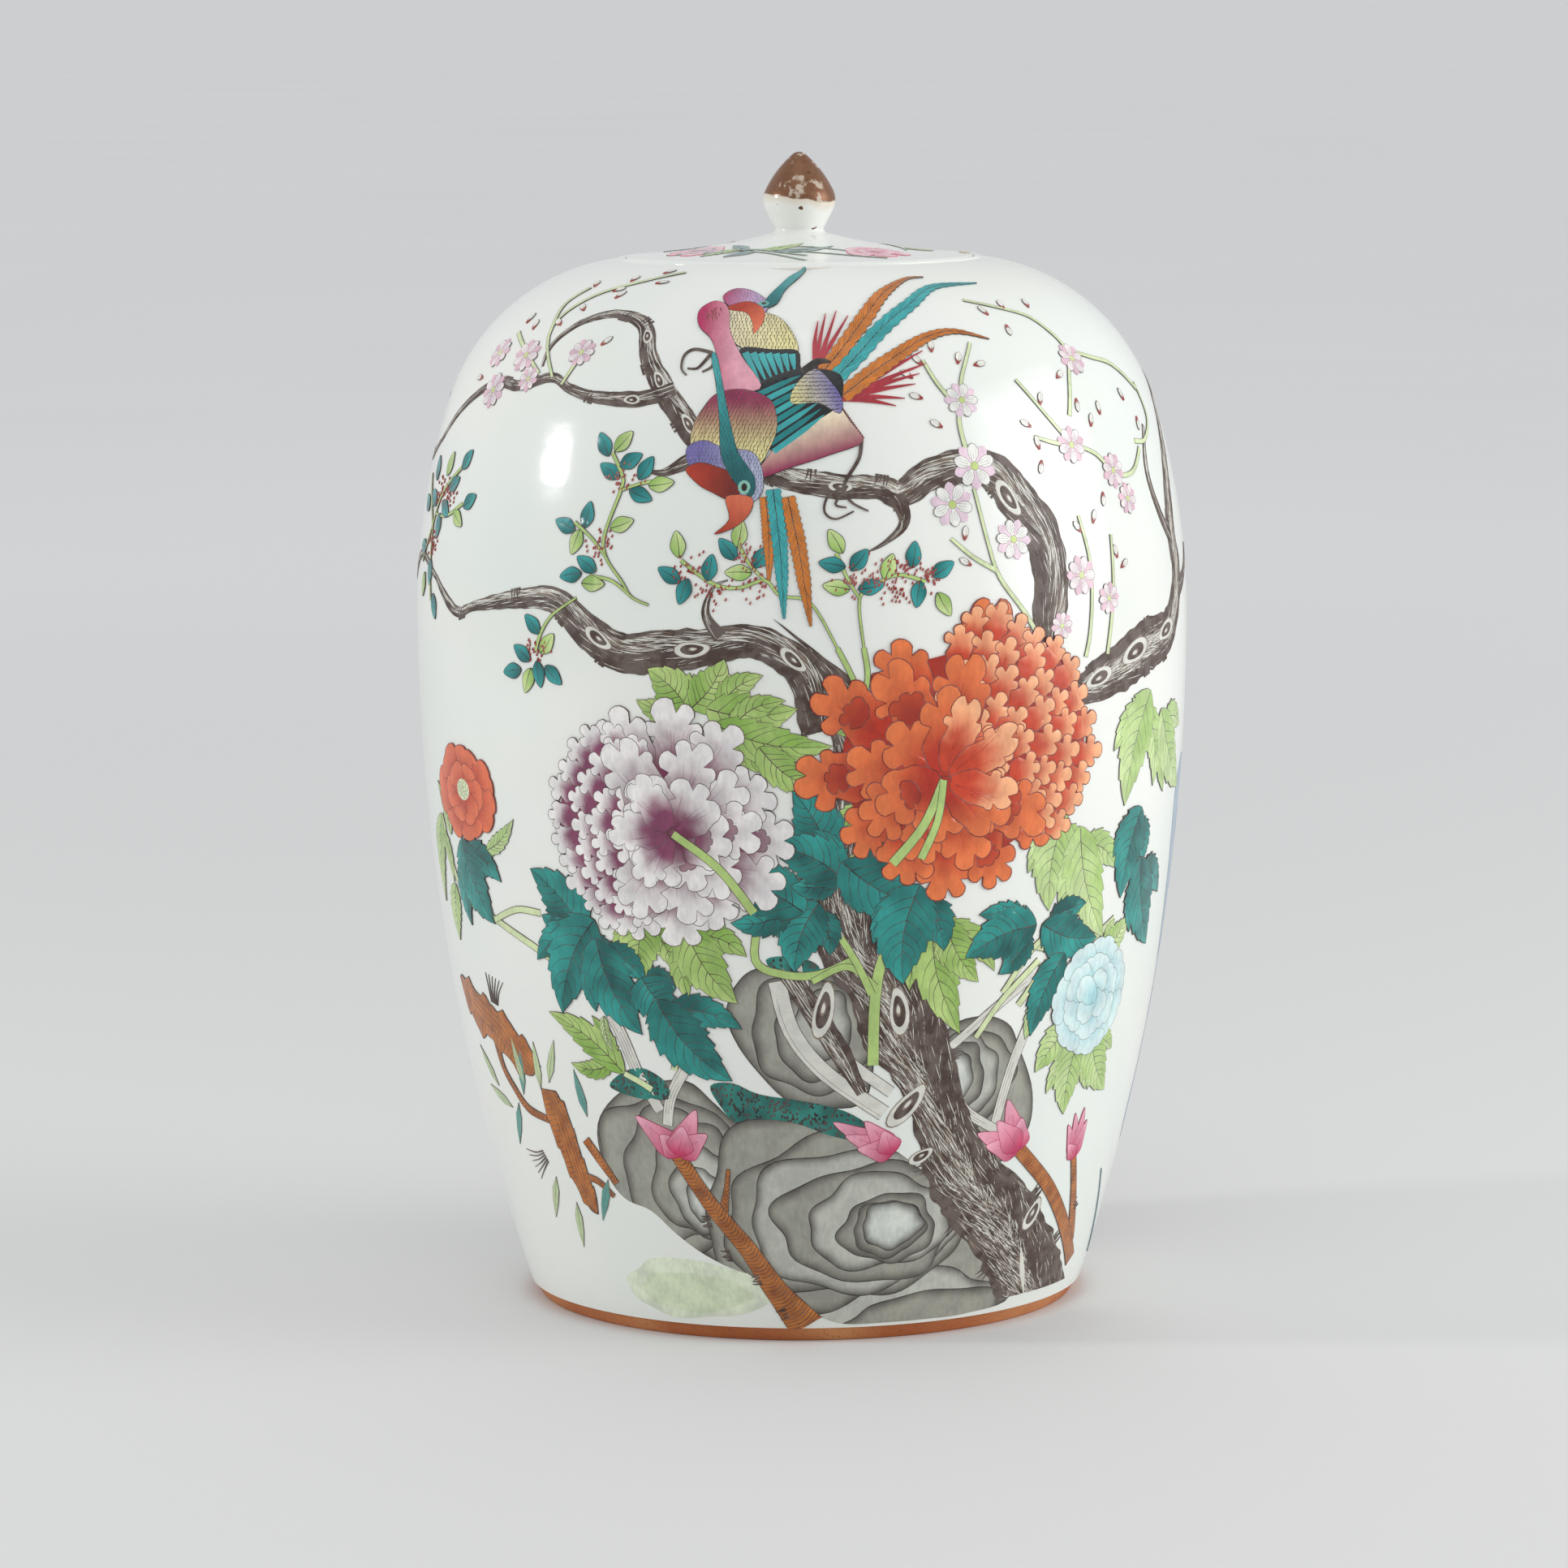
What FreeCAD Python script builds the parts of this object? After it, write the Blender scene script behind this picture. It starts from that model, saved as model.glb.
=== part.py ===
import FreeCAD, Part
import math
import os

import Sketcher

# A covered porcelain jar, thrown in sections and luted together: foot ring, floor, lower wall,
# upper wall with its shoulder, and mouth collar, with a loose lid made of a cover, a locating
# flange and a bud-shaped knob. Millimetres, +Z up, origin on the standing plane at the axis.

# Driving dimensions. Heights are rises from the ring below, so each one can change by itself.
SIZES = {
    # foot ring and floor
    "foot_radius": 75.0,
    "foot_width": 9.0,
    "foot_height": 4.0,
    "foot_flare": 2.2,
    "glaze_step": 0.7,
    "recess_depth": 9.0,
    "floor_thickness": 6.5,
    # wall of the jar
    "wall": 5.5,
    "belly_radius": 107.6,
    "luting_rise": 146.0,
    "lower_rise": 188.0,
    "upper_rise": 60.4,
    "shoulder_inset": 9.7,
    "shoulder_rise": 38.3,
    # mouth collar
    "mouth_radius": 40.0,
    "seat_width": 8.7,
    "collar_lip": 1.8,
    "lip_rise": 0.5,
    "seat_depth": 2.9,
    "collar_depth": 8.5,
    # lid cover
    "lid_clearance": 0.45,
    "lid_edge": 3.1,
    "dome_rise": 6.1,
    "dome_sweep": 200.0,
    "cover_thickness": 4.6,
    # locating flange under the lid
    "flange_clearance": 1.4,
    "flange_thickness": 3.8,
    "flange_depth": 12.0,
    # knob, rises measured from the top of the cover
    "stem_radius": 7.6,
    "neck_radius": 6.75,
    "neck_rise": 1.3,
    "neck_sweep": 1.6,
    "flare_radius": 9.2,
    "flare_rise": 6.1,
    "crown_radius": 9.5,
    "crown_rise": 11.8,
    "bud_sweep": 6.3,
    "tip_radius": 1.5,
    "tip_rise": 22.1,
    "crown_sweep": 30.0,
    "knob_height": 22.5,
    # rounded edges
    "foot_round": 0.8,
    "lip_round": 0.6,
    "mouth_round": 1.0,
    "lid_round": 1.1,
    "flange_round": 1.2,
}

NEAR = 1e-4


class Size:
    """A number together with the expression that gives it from the sheet."""

    def __init__(self, value, text=None):
        self.value = float(value)
        self.text = text or repr(float(value))

    def __add__(self, other):
        return Size(self.value + other.value, f"({self.text} + {other.text})")

    def __sub__(self, other):
        return Size(self.value - other.value, f"({self.text} - {other.text})")

    def __mul__(self, other):
        return Size(self.value * other.value, f"({self.text} * {other.text})")

    def __truediv__(self, other):
        return Size(self.value / other.value, f"({self.text} / {other.text})")


ZERO = Size(0)
TWO = Size(2)


def root(size):
    return Size(math.sqrt(size.value), f"sqrt({size.text})")


def square(size):
    return size * size


def make_sheet(doc):
    """Write the driving dimensions to a sheet and return them as named sizes."""
    sheet = doc.addObject("Spreadsheet::Sheet", "Sizes")
    for row, (alias, value) in enumerate(SIZES.items(), start=1):
        sheet.set(f"A{row}", alias.replace("_", " "))
        sheet.set(f"B{row}", str(value))
        sheet.setAlias(f"B{row}", alias)
    doc.recompute()
    return {alias: Size(sheet.get(alias), f"Sizes.{alias}") for alias in SIZES}


def plane_of(body, role):
    for feature in body.Origin.OriginFeatures:
        if feature.Role == role:
            return feature
    raise RuntimeError(f"{body.Label} has no {role}")


def arc_between(start, end, radius, turn):
    """Arc from start to end; turn is 1 counter-clockwise and -1 clockwise."""
    chord = end - start
    half = chord.Length / 2
    to_centre = FreeCAD.Vector(-chord.y, chord.x, 0).normalize() * turn
    centre = start + chord / 2 + to_centre * math.sqrt(radius ** 2 - half ** 2)
    first, last = (start, end) if turn > 0 else (end, start)
    circle = Part.Circle(centre, FreeCAD.Vector(0, 0, 1), radius)
    from_angle = math.atan2(first.y - centre.y, first.x - centre.x)
    to_angle = math.atan2(last.y - centre.y, last.x - centre.x)
    return Part.ArcOfCircle(circle, from_angle, to_angle)


def bind(sketch, constraint, size):
    """Add a dimension to a sketch and drive it from the sheet."""
    index = sketch.addConstraint(constraint)
    sketch.setExpression(f"Constraints[{index}]", size.text)


def place_corner(sketch, edge, end, across, up):
    """Fix one end of an edge at its distance from the axis and its height."""
    origin, origin_point, level_axis, upright_axis = -1, 1, -1, -2
    if across.value == 0:
        sketch.addConstraint(Sketcher.Constraint("PointOnObject", edge, end, upright_axis))
    else:
        distance = ("DistanceX", origin, origin_point, edge, end, across.value)
        bind(sketch, Sketcher.Constraint(*distance), across)
    if up.value == 0:
        sketch.addConstraint(Sketcher.Constraint("PointOnObject", edge, end, level_axis))
    else:
        distance = ("DistanceY", origin, origin_point, edge, end, up.value)
        bind(sketch, Sketcher.Constraint(*distance), up)


def turned(doc, label, corners, arcs=None):
    """Turn a closed section about the jar's axis.

    corners are (distance from the axis, height) pairs, counter-clockwise. arcs maps the
    number of an edge to its (radius, turn); every other edge is straight.
    """
    arcs = arcs or {}
    body = doc.addObject("PartDesign::Body", label)
    body.Label = label
    sketch = body.newObject("Sketcher::SketchObject", label + "_section")
    sketch.AttachmentSupport = [(plane_of(body, "XZ_Plane"), "")]
    sketch.MapMode = "FlatFace"

    points = [FreeCAD.Vector(across.value, up.value, 0) for across, up in corners]
    begins, finishes = [], []
    for number, start in enumerate(points):
        end = points[(number + 1) % len(points)]
        if number in arcs:
            radius, turn = arcs[number]
            sketch.addGeometry(arc_between(start, end, radius.value, turn))
            begins.append(1 if turn > 0 else 2)
            finishes.append(2 if turn > 0 else 1)
        else:
            sketch.addGeometry(Part.LineSegment(start, end))
            begins.append(1)
            finishes.append(2)

    for number, (across, up) in enumerate(corners):
        before = (number - 1) % len(corners)
        meeting = ("Coincident", before, finishes[before], number, begins[number])
        sketch.addConstraint(Sketcher.Constraint(*meeting))
        place_corner(sketch, number, begins[number], across, up)
    for number, (radius, _) in arcs.items():
        bind(sketch, Sketcher.Constraint("Radius", number, radius.value), radius)

    turning = body.newObject("PartDesign::Revolution", label + "_turned")
    turning.Profile = sketch
    turning.ReferenceAxis = (sketch, ["V_Axis"])
    turning.Angle = 360
    doc.recompute()
    return body


def round_rings(doc, body, radius, rings):
    """Round the circular edges at the given (distance from the axis, height) pairs."""
    names = []
    for number, edge in enumerate(body.Shape.Edges, start=1):
        if not isinstance(edge.Curve, Part.Circle):
            continue
        for across, up in rings:
            same_radius = abs(edge.Curve.Radius - across.value) < NEAR
            same_height = abs(edge.Curve.Center.z - up.value) < NEAR
            if same_radius and same_height:
                names.append(f"Edge{number}")
    if len(names) != len(rings):
        raise RuntimeError(f"{body.Label}: {len(names)} of {len(rings)} edges found to round")
    unrounded = body.Tip
    fillet = body.newObject("PartDesign::Fillet", f"{body.Label}_rounded_{len(body.Group)}")
    fillet.Base = (unrounded, names)
    fillet.Radius = radius.value
    fillet.setExpression("Radius", radius.text)
    doc.recompute()


class JarProfile:
    """Outer line of the jar: three arcs that join smoothly, and the levels between them."""

    def __init__(self, size):
        self.size = size
        self.belly_radius = size["belly_radius"]
        self.base_radius = size["foot_radius"] + size["foot_flare"] + size["glaze_step"]
        self.base_level = size["foot_height"]
        self.luting_level = self.base_level + size["luting_rise"]
        self.belly_level = self.base_level + size["lower_rise"]
        self.shoulder_radius = self.belly_radius - size["shoulder_inset"]
        self.shoulder_level = self.belly_level + size["upper_rise"]
        self.rim_radius = size["mouth_radius"] + size["seat_width"] + size["collar_lip"]
        self.rim_level = self.shoulder_level + size["shoulder_rise"]
        self.lower_arc = self.arc_from_belly(self.base_radius, self.base_level)
        self.upper_arc = self.arc_from_belly(self.shoulder_radius, self.shoulder_level)

        # The shoulder arc carries on in the direction in which the upper arc ends.
        out = (self.shoulder_radius - self.belly_radius + self.upper_arc) / self.upper_arc
        rise = size["upper_rise"] / self.upper_arc
        inward = self.shoulder_radius - self.rim_radius
        chord_squared = square(inward) + square(size["shoulder_rise"])
        facing = out * inward - rise * size["shoulder_rise"]
        self.shoulder_arc = chord_squared / (TWO * facing)
        self.shoulder_centre = (
            self.shoulder_radius - self.shoulder_arc * out,
            self.shoulder_level - self.shoulder_arc * rise,
        )
        self.shoulder_out = out
        self.shoulder_up = rise

    def arc_from_belly(self, radius, level):
        """Radius of the arc that leaves the belly upright and passes a point."""
        inset = self.belly_radius - radius
        rise = self.belly_level - level
        return (square(inset) + square(rise)) / (TWO * inset)

    def lower(self, level, inset):
        """Distance from the axis of the lower arc, set in by a wall, at a level."""
        rise = self.belly_level - level
        reach = root(square(self.lower_arc - inset) - square(rise))
        return self.belly_radius - self.lower_arc + reach

    def shoulder_start(self, inset):
        """Where the shoulder arc, set in by a wall, meets the upper arc."""
        across = self.shoulder_radius - inset * self.shoulder_out
        return across, self.shoulder_level - inset * self.shoulder_up

    def rim(self, inset):
        """Where the shoulder arc, set in by a wall, meets the mouth collar."""
        across, up = self.shoulder_centre
        reach = square(self.shoulder_arc - inset) - square(self.rim_radius - across)
        return self.rim_radius, up + root(reach)


def make_foot_ring(doc, size, jar):
    inner = size["foot_radius"] - size["foot_width"]
    corners = [
        (inner, ZERO),
        (size["foot_radius"], ZERO),
        (size["foot_radius"] + size["foot_flare"], jar.base_level),
        (inner, jar.base_level),
    ]
    ring = turned(doc, "foot_ring", corners)
    standing_edges = [corners[0], corners[1]]
    round_rings(doc, ring, size["foot_round"], standing_edges)
    return ring


def make_base_floor(doc, size, jar):
    ring_inner = size["foot_radius"] - size["foot_width"]
    floor_level = size["recess_depth"] + size["floor_thickness"]
    corners = [
        (ZERO, size["recess_depth"]),
        (ring_inner, size["recess_depth"]),
        (ring_inner, jar.base_level),
        (jar.lower(jar.base_level, size["wall"]), jar.base_level),
        (jar.lower(floor_level, size["wall"]), floor_level),
        (ZERO, floor_level),
    ]
    wall_edge = 3
    arcs = {wall_edge: (jar.lower_arc - size["wall"], 1)}
    return turned(doc, "base_floor", corners, arcs)


def make_lower_wall(doc, size, jar):
    wall = size["wall"]
    corners = [
        (jar.lower(jar.base_level, wall), jar.base_level),
        (jar.base_radius, jar.base_level),
        (jar.lower(jar.luting_level, ZERO), jar.luting_level),
        (jar.lower(jar.luting_level, wall), jar.luting_level),
    ]
    outside, inside = 1, 3
    arcs = {outside: (jar.lower_arc, 1), inside: (jar.lower_arc - wall, -1)}
    return turned(doc, "jar_lower_wall", corners, arcs)


def make_upper_wall(doc, size, jar):
    wall = size["wall"]
    corners = [
        (jar.lower(jar.luting_level, wall), jar.luting_level),
        (jar.lower(jar.luting_level, ZERO), jar.luting_level),
        (jar.belly_radius, jar.belly_level),
        (jar.shoulder_radius, jar.shoulder_level),
        (jar.rim_radius, jar.rim_level),
        jar.rim(wall),
        jar.shoulder_start(wall),
        (jar.belly_radius - wall, jar.belly_level),
    ]
    outside = {
        1: (jar.lower_arc, 1),
        2: (jar.upper_arc, 1),
        3: (jar.shoulder_arc, 1),
    }
    inside = {
        5: (jar.shoulder_arc - wall, -1),
        6: (jar.upper_arc - wall, -1),
        7: (jar.lower_arc - wall, -1),
    }
    return turned(doc, "jar_upper_wall", corners, {**outside, **inside})


def make_mouth_collar(doc, size, jar):
    lip_level = jar.rim_level + size["lip_rise"]
    seat_level = lip_level - size["seat_depth"]
    seat_radius = size["mouth_radius"] + size["seat_width"]
    under_level = jar.rim_level - size["collar_depth"]
    corners = [
        (size["mouth_radius"], under_level),
        (jar.rim_radius, under_level),
        (jar.rim_radius, lip_level),
        (seat_radius, lip_level),
        (seat_radius, seat_level),
        (size["mouth_radius"], seat_level),
    ]
    collar = turned(doc, "mouth_collar", corners)
    lip_edges = [corners[2], corners[3]]
    mouth_edges = [corners[0], corners[5]]
    round_rings(doc, collar, size["lip_round"], lip_edges)
    round_rings(doc, collar, size["mouth_round"], mouth_edges)
    return collar


class LidLevels:
    """Levels and radii of the lid, taken from the seat that it rests on."""

    def __init__(self, size, jar):
        self.seat = jar.rim_level + size["lip_rise"] - size["seat_depth"]
        self.edge = self.seat + size["lid_edge"]
        self.top = self.edge + size["dome_rise"]
        self.edge_radius = size["mouth_radius"] + size["seat_width"] - size["lid_clearance"]
        self.flange_outer = size["mouth_radius"] - size["flange_clearance"]
        self.flange_inner = self.flange_outer - size["flange_thickness"]


def make_lid_cover(doc, size, lid):
    corners = [
        (ZERO, lid.top - size["cover_thickness"]),
        (size["stem_radius"], lid.top - size["cover_thickness"]),
        (lid.flange_inner, lid.seat),
        (lid.edge_radius, lid.seat),
        (lid.edge_radius, lid.edge),
        (size["stem_radius"], lid.top),
        (ZERO, lid.top),
    ]
    underside, top = 1, 4
    sweep = size["dome_sweep"]
    arcs = {underside: (sweep, 1), top: (sweep, -1)}
    cover = turned(doc, "lid_cover", corners, arcs)
    round_rings(doc, cover, size["lid_round"], [corners[4]])
    return cover


def make_lid_flange(doc, size, lid):
    lower_level = lid.seat - size["flange_depth"]
    corners = [
        (lid.flange_inner, lower_level),
        (lid.flange_outer, lower_level),
        (lid.flange_outer, lid.seat),
        (lid.flange_inner, lid.seat),
    ]
    flange = turned(doc, "lid_flange", corners)
    lower_edges = [corners[0], corners[1]]
    round_rings(doc, flange, size["flange_round"], lower_edges)
    return flange


def make_lid_knob(doc, size, lid):
    corners = [
        (ZERO, lid.top),
        (size["stem_radius"], lid.top),
        (size["neck_radius"], lid.top + size["neck_rise"]),
        (size["flare_radius"], lid.top + size["flare_rise"]),
        (size["crown_radius"], lid.top + size["crown_rise"]),
        (size["tip_radius"], lid.top + size["tip_rise"]),
        (ZERO, lid.top + size["knob_height"]),
    ]
    # The tip is a cap of a ball that sits on the axis.
    cap_rise = size["knob_height"] - size["tip_rise"]
    cap_radius = (square(size["tip_radius"]) + square(cap_rise)) / (TWO * cap_rise)
    neck, bud, crown, tip = 1, 3, 4, 5
    arcs = {
        neck: (size["neck_sweep"], -1),
        bud: (size["bud_sweep"], 1),
        crown: (size["crown_sweep"], 1),
        tip: (cap_radius, 1),
    }
    return turned(doc, "lid_knob", corners, arcs)


def check(doc, pieces):
    """Stop before anything is written if a feature failed or a piece isn't one solid."""
    for item in doc.Objects:
        if "Invalid" in item.State or "Error" in item.State:
            raise RuntimeError(f"{item.Label} failed: {item.State}")
    for sketch in doc.findObjects("Sketcher::SketchObject"):
        if not sketch.FullyConstrained:
            raise RuntimeError(f"{sketch.Label} isn't fully constrained")
    for piece in pieces:
        shape = piece.Shape
        if shape.isNull() or not shape.isValid() or len(shape.Solids) != 1:
            raise RuntimeError(f"{piece.Label} isn't one valid solid")


def main():
    doc = FreeCAD.newDocument("CoveredJar")
    size = make_sheet(doc)
    jar = JarProfile(size)
    lid = LidLevels(size, jar)
    pieces = [
        make_foot_ring(doc, size, jar),
        make_base_floor(doc, size, jar),
        make_lower_wall(doc, size, jar),
        make_upper_wall(doc, size, jar),
        make_mouth_collar(doc, size, jar),
        make_lid_cover(doc, size, lid),
        make_lid_flange(doc, size, lid),
        make_lid_knob(doc, size, lid),
    ]
    doc.recompute()
    check(doc, pieces)

    os.makedirs("parts", exist_ok=True)
    for piece in pieces:
        box = piece.Shape.optimalBoundingBox()
        print(f"{piece.Label}: radius {box.XMax:.1f}, height {box.ZMin:.1f} to {box.ZMax:.1f}")
        piece.Shape.exportStep(f"parts/{piece.Label}.step")


main()
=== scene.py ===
import math
import random

import bpy
import numpy as np
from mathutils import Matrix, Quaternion, Vector, kdtree, noise
from mathutils.geometry import delaunay_2d_cdt


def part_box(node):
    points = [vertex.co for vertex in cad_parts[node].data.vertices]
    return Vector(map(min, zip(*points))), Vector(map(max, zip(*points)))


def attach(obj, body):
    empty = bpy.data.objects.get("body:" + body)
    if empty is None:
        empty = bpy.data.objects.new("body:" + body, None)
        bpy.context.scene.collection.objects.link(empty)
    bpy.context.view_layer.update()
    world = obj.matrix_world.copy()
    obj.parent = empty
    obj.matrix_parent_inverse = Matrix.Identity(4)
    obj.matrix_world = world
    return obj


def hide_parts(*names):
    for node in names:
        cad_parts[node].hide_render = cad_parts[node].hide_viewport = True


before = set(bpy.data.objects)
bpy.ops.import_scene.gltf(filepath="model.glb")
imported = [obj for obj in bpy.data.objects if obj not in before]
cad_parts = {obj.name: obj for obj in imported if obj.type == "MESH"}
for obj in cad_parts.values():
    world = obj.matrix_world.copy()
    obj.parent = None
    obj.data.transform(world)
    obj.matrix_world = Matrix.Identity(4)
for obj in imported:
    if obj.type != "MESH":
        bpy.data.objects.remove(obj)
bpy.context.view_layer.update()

mm = 0.001
paintbox = random.Random(11)


def srgb(red, green, blue):  # screen colour, 0 to 255, to the linear values that nodes take
    def linear(part):
        part /= 255
        return part / 12.92 if part <= 0.04045 else ((part + 0.055) / 1.055) ** 2.4
    return (linear(red), linear(green), linear(blue), 1.0)


def blendColour(first, second, share):
    share = min(1.0, max(0.0, share))
    return tuple(a + (b - a) * share for a, b in zip(first, second))


def ease(low, high, value):  # smooth step from 0 at low to 1 at high
    share = min(1.0, max(0.0, (value - low) / (high - low)))
    return share * share * (3 - 2 * share)


# materials

class Wire:  # an output socket that can be used in sums
    def __init__(self, recipe, socket):
        self.recipe = recipe
        self.socket = socket

    def maths(self, operation, first, second=0.5, third=0.5):
        return self.recipe.node("ShaderNodeMath", {"operation": operation}, {0: first, 1: second, 2: third})

    def __add__(self, other):
        return self.maths("ADD", self, other)

    def __radd__(self, other):
        return self.maths("ADD", other, self)

    def __sub__(self, other):
        return self.maths("SUBTRACT", self, other)

    def __rsub__(self, other):
        return self.maths("SUBTRACT", other, self)

    def __mul__(self, other):
        return self.maths("MULTIPLY", self, other)

    def __rmul__(self, other):
        return self.maths("MULTIPLY", other, self)

    def __gt__(self, other):
        return self.maths("GREATER_THAN", self, other)

    def __lt__(self, other):
        return self.maths("LESS_THAN", self, other)


class Recipe:  # a material with its principled shader, and one way to add nodes
    def __init__(self, name):
        self.material = bpy.data.materials.new(name)
        self.material.use_nodes = True
        self.tree = self.material.node_tree
        self.shader = self.tree.nodes["Principled BSDF"]

    def node(self, kind, settings, values, output=0):
        made = self.tree.nodes.new(kind)
        for name, value in settings.items():
            setattr(made, name, value)
        for name, value in values.items():
            self.feed(made.inputs[name], value)
        return Wire(self, made.outputs[output])

    def feed(self, socket, value):
        if isinstance(value, Wire):
            self.tree.links.new(value.socket, socket)
        else:
            socket.default_value = value

    def finish(self, **values):
        for name, value in values.items():
            self.feed(self.shader.inputs[name.replace("_", " ")], value)
        return self.material

    def place(self):
        return self.node("ShaderNodeTexCoord", {}, {}, "Object")

    def scaled(self, vector, scale):
        return self.node("ShaderNodeVectorMath", {"operation": "MULTIPLY"}, {0: vector, 1: scale})

    def noise(self, vector, scale, detail=3.0, roughness=0.5):
        values = {"Vector": vector, "Scale": scale, "Detail": detail, "Roughness": roughness}
        return self.node("ShaderNodeTexNoise", {}, values)

    def between(self, factor, low, high):  # 0 below low, 1 above high, smooth in between
        settings = {"interpolation_type": "SMOOTHSTEP"}
        return self.node("ShaderNodeMapRange", settings, {"Value": factor, "From Min": low, "From Max": high})

    def mix(self, factor, first, second, way="MIX"):
        factorSocket, firstSocket, secondSocket, colourOutput = 0, 6, 7, 2
        values = {factorSocket: factor, firstSocket: first, secondSocket: second}
        return self.node("ShaderNodeMix", {"data_type": "RGBA", "blend_type": way}, values, colourOutput)

    def bump(self, height, strength, distance):
        return self.node("ShaderNodeBump", {}, {"Height": height, "Strength": strength, "Distance": distance})


glaze = {
    "white": srgb(240, 242, 236),
    "cool": srgb(229, 236, 230),
    "warm": srgb(240, 239, 227),
    "speck": srgb(70, 52, 40),
    "roughness": 0.085,
}


def glazeMaterial():
    recipe = Recipe("porcelain_glaze")
    place = recipe.place()
    drift = recipe.noise(place, 9.0, 3.0)
    colour = recipe.mix(recipe.between(drift, 0.35, 0.75), glaze["white"], glaze["cool"])
    pool = recipe.noise(recipe.scaled(place, (1, 1, 5)), 6.0, 2.0)
    colour = recipe.mix(recipe.between(pool, 0.5, 0.8) * 0.5, colour, glaze["warm"])
    cell = {"Vector": place, "Scale": 34.0, "Randomness": 1.0}
    near = recipe.node("ShaderNodeTexVoronoi", {}, cell)
    chosen = recipe.node("ShaderNodeSeparateColor", {},
                         {"Color": recipe.node("ShaderNodeTexVoronoi", {}, cell, "Color")})
    speck = (near < 0.011 + chosen * 0.006) * (chosen > 0.82)
    colour = recipe.mix(speck * 0.8, colour, glaze["speck"])
    turning = recipe.noise(recipe.scaled(place, (3, 3, 70)), 1.0, 2.0)  # level rings left by throwing
    peel = recipe.noise(place, 240.0, 2.0)
    sag = recipe.noise(recipe.scaled(place, (60, 60, 9)), 1.0, 1.0)  # long upright waves in the thick glaze
    height = turning * 0.55 + sag * 0.5 + peel * 0.05
    roughness = glaze["roughness"] + recipe.noise(place, 30.0, 4.0) * 0.06
    return recipe.finish(Base_Color=colour, Roughness=roughness, IOR=1.5, Coat_Weight=0.25,
                         Coat_Roughness=0.03,
                         Normal=recipe.bump(height, 0.35, 0.0011))


biscuit = {
    "body": srgb(176, 98, 52),
    "pale": srgb(205, 142, 92),
    "burnt": srgb(112, 58, 32),
}


def biscuitMaterial():
    recipe = Recipe("burnt_biscuit")
    place = recipe.place()
    broad = recipe.noise(place, 26.0, 4.0)
    grain = recipe.noise(place, 900.0, 3.0, 0.7)
    colour = recipe.mix(recipe.between(broad, 0.35, 0.7), biscuit["body"], biscuit["pale"])
    colour = recipe.mix(recipe.between(grain, 0.55, 0.75) * 0.6, colour, biscuit["burnt"])
    turning = recipe.noise(recipe.scaled(place, (20, 20, 900)), 1.0, 2.0)
    return recipe.finish(Base_Color=colour, Roughness=0.62 + broad * 0.25,
                         Normal=recipe.bump(grain * 0.6 + turning * 0.4, 0.5, 0.0006))


gilding = {
    "brown": srgb(146, 104, 74),
    "dark": srgb(104, 66, 44),
    "cream": srgb(224, 214, 196),
    "bare": 0.44,  # share of the knob's height that shows plain glaze
}


def knobMaterial():
    recipe = Recipe("worn_gilding")
    place = recipe.place()
    height = recipe.node("ShaderNodeSeparateXYZ", {}, {0: place}, "Z")
    side = recipe.node("ShaderNodeSeparateXYZ", {}, {0: place}, "X")
    broad = recipe.noise(place, 120.0, 3.0)
    fine = recipe.noise(place, 700.0, 4.0, 0.6)
    low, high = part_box("lid_knob")
    edge = low.z + (high.z - low.z) * gilding["bare"]
    line = height + broad * 0.0035 + side * 0.12 - (edge + 0.00175)
    painted = recipe.between(line, -0.0002, 0.0003)
    worn = recipe.between(broad * 0.75 + fine * 0.25, 0.56, 0.60)
    brown = recipe.mix(fine, gilding["dark"], gilding["brown"])
    glazeColour = recipe.mix(recipe.between(line, -0.003, 0.0), glaze["white"], gilding["cream"])
    cream = recipe.mix(fine * 0.6, gilding["cream"], gilding["brown"])
    colour = recipe.mix(painted, glazeColour, recipe.mix(worn * 0.85, brown, cream))
    fleck = recipe.between(recipe.noise(place, 260.0, 1.0), 0.73, 0.75)
    colour = recipe.mix(fleck, colour, gilding["dark"])
    roughness = 0.1 + painted * (0.16 + fine * 0.2)
    metal = painted * (1 - worn) * 0.45
    return recipe.finish(Base_Color=colour, Roughness=roughness, Metallic=metal, IOR=1.5,
                         Normal=recipe.bump(painted * 0.5 + fine * 0.2, 0.3, 0.0004))


def enamelMaterial():
    recipe = Recipe("fired_enamel")
    place = recipe.place()
    tint = recipe.node("ShaderNodeVertexColor", {"layer_name": "tint"}, {})
    cloud = recipe.noise(place, 130.0, 4.0, 0.6)
    brush = recipe.noise(recipe.scaled(place, (1, 1, 0.35)), 900.0, 2.0)
    lighter = recipe.mix(1.0, tint, (1.12, 1.12, 1.1, 1), "MULTIPLY")
    darker = recipe.mix(1.0, tint, (0.86, 0.86, 0.87, 1), "MULTIPLY")
    colour = recipe.mix(recipe.between(cloud * 0.7 + brush * 0.3, 0.36, 0.66), darker, lighter)
    height = recipe.noise(place, 320.0, 3.0)
    return recipe.finish(Base_Color=colour, Roughness=0.16 + brush * 0.14, IOR=1.52,
                         Normal=recipe.bump(height, 0.18, 0.0004))


inks = {  # fired drawing colours: colour and roughness
    "ink": (srgb(38, 30, 27), 0.4),
    "sepia": (srgb(74, 54, 45), 0.45),
    "umber": (srgb(134, 116, 100), 0.45),
    "wine": (srgb(124, 30, 14), 0.4),
    "grey": (srgb(96, 92, 88), 0.45),
    "bone": (srgb(222, 222, 212), 0.3),
    "berry": (srgb(158, 48, 38), 0.35),
    "slateInk": (srgb(84, 76, 110), 0.4),
}


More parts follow.
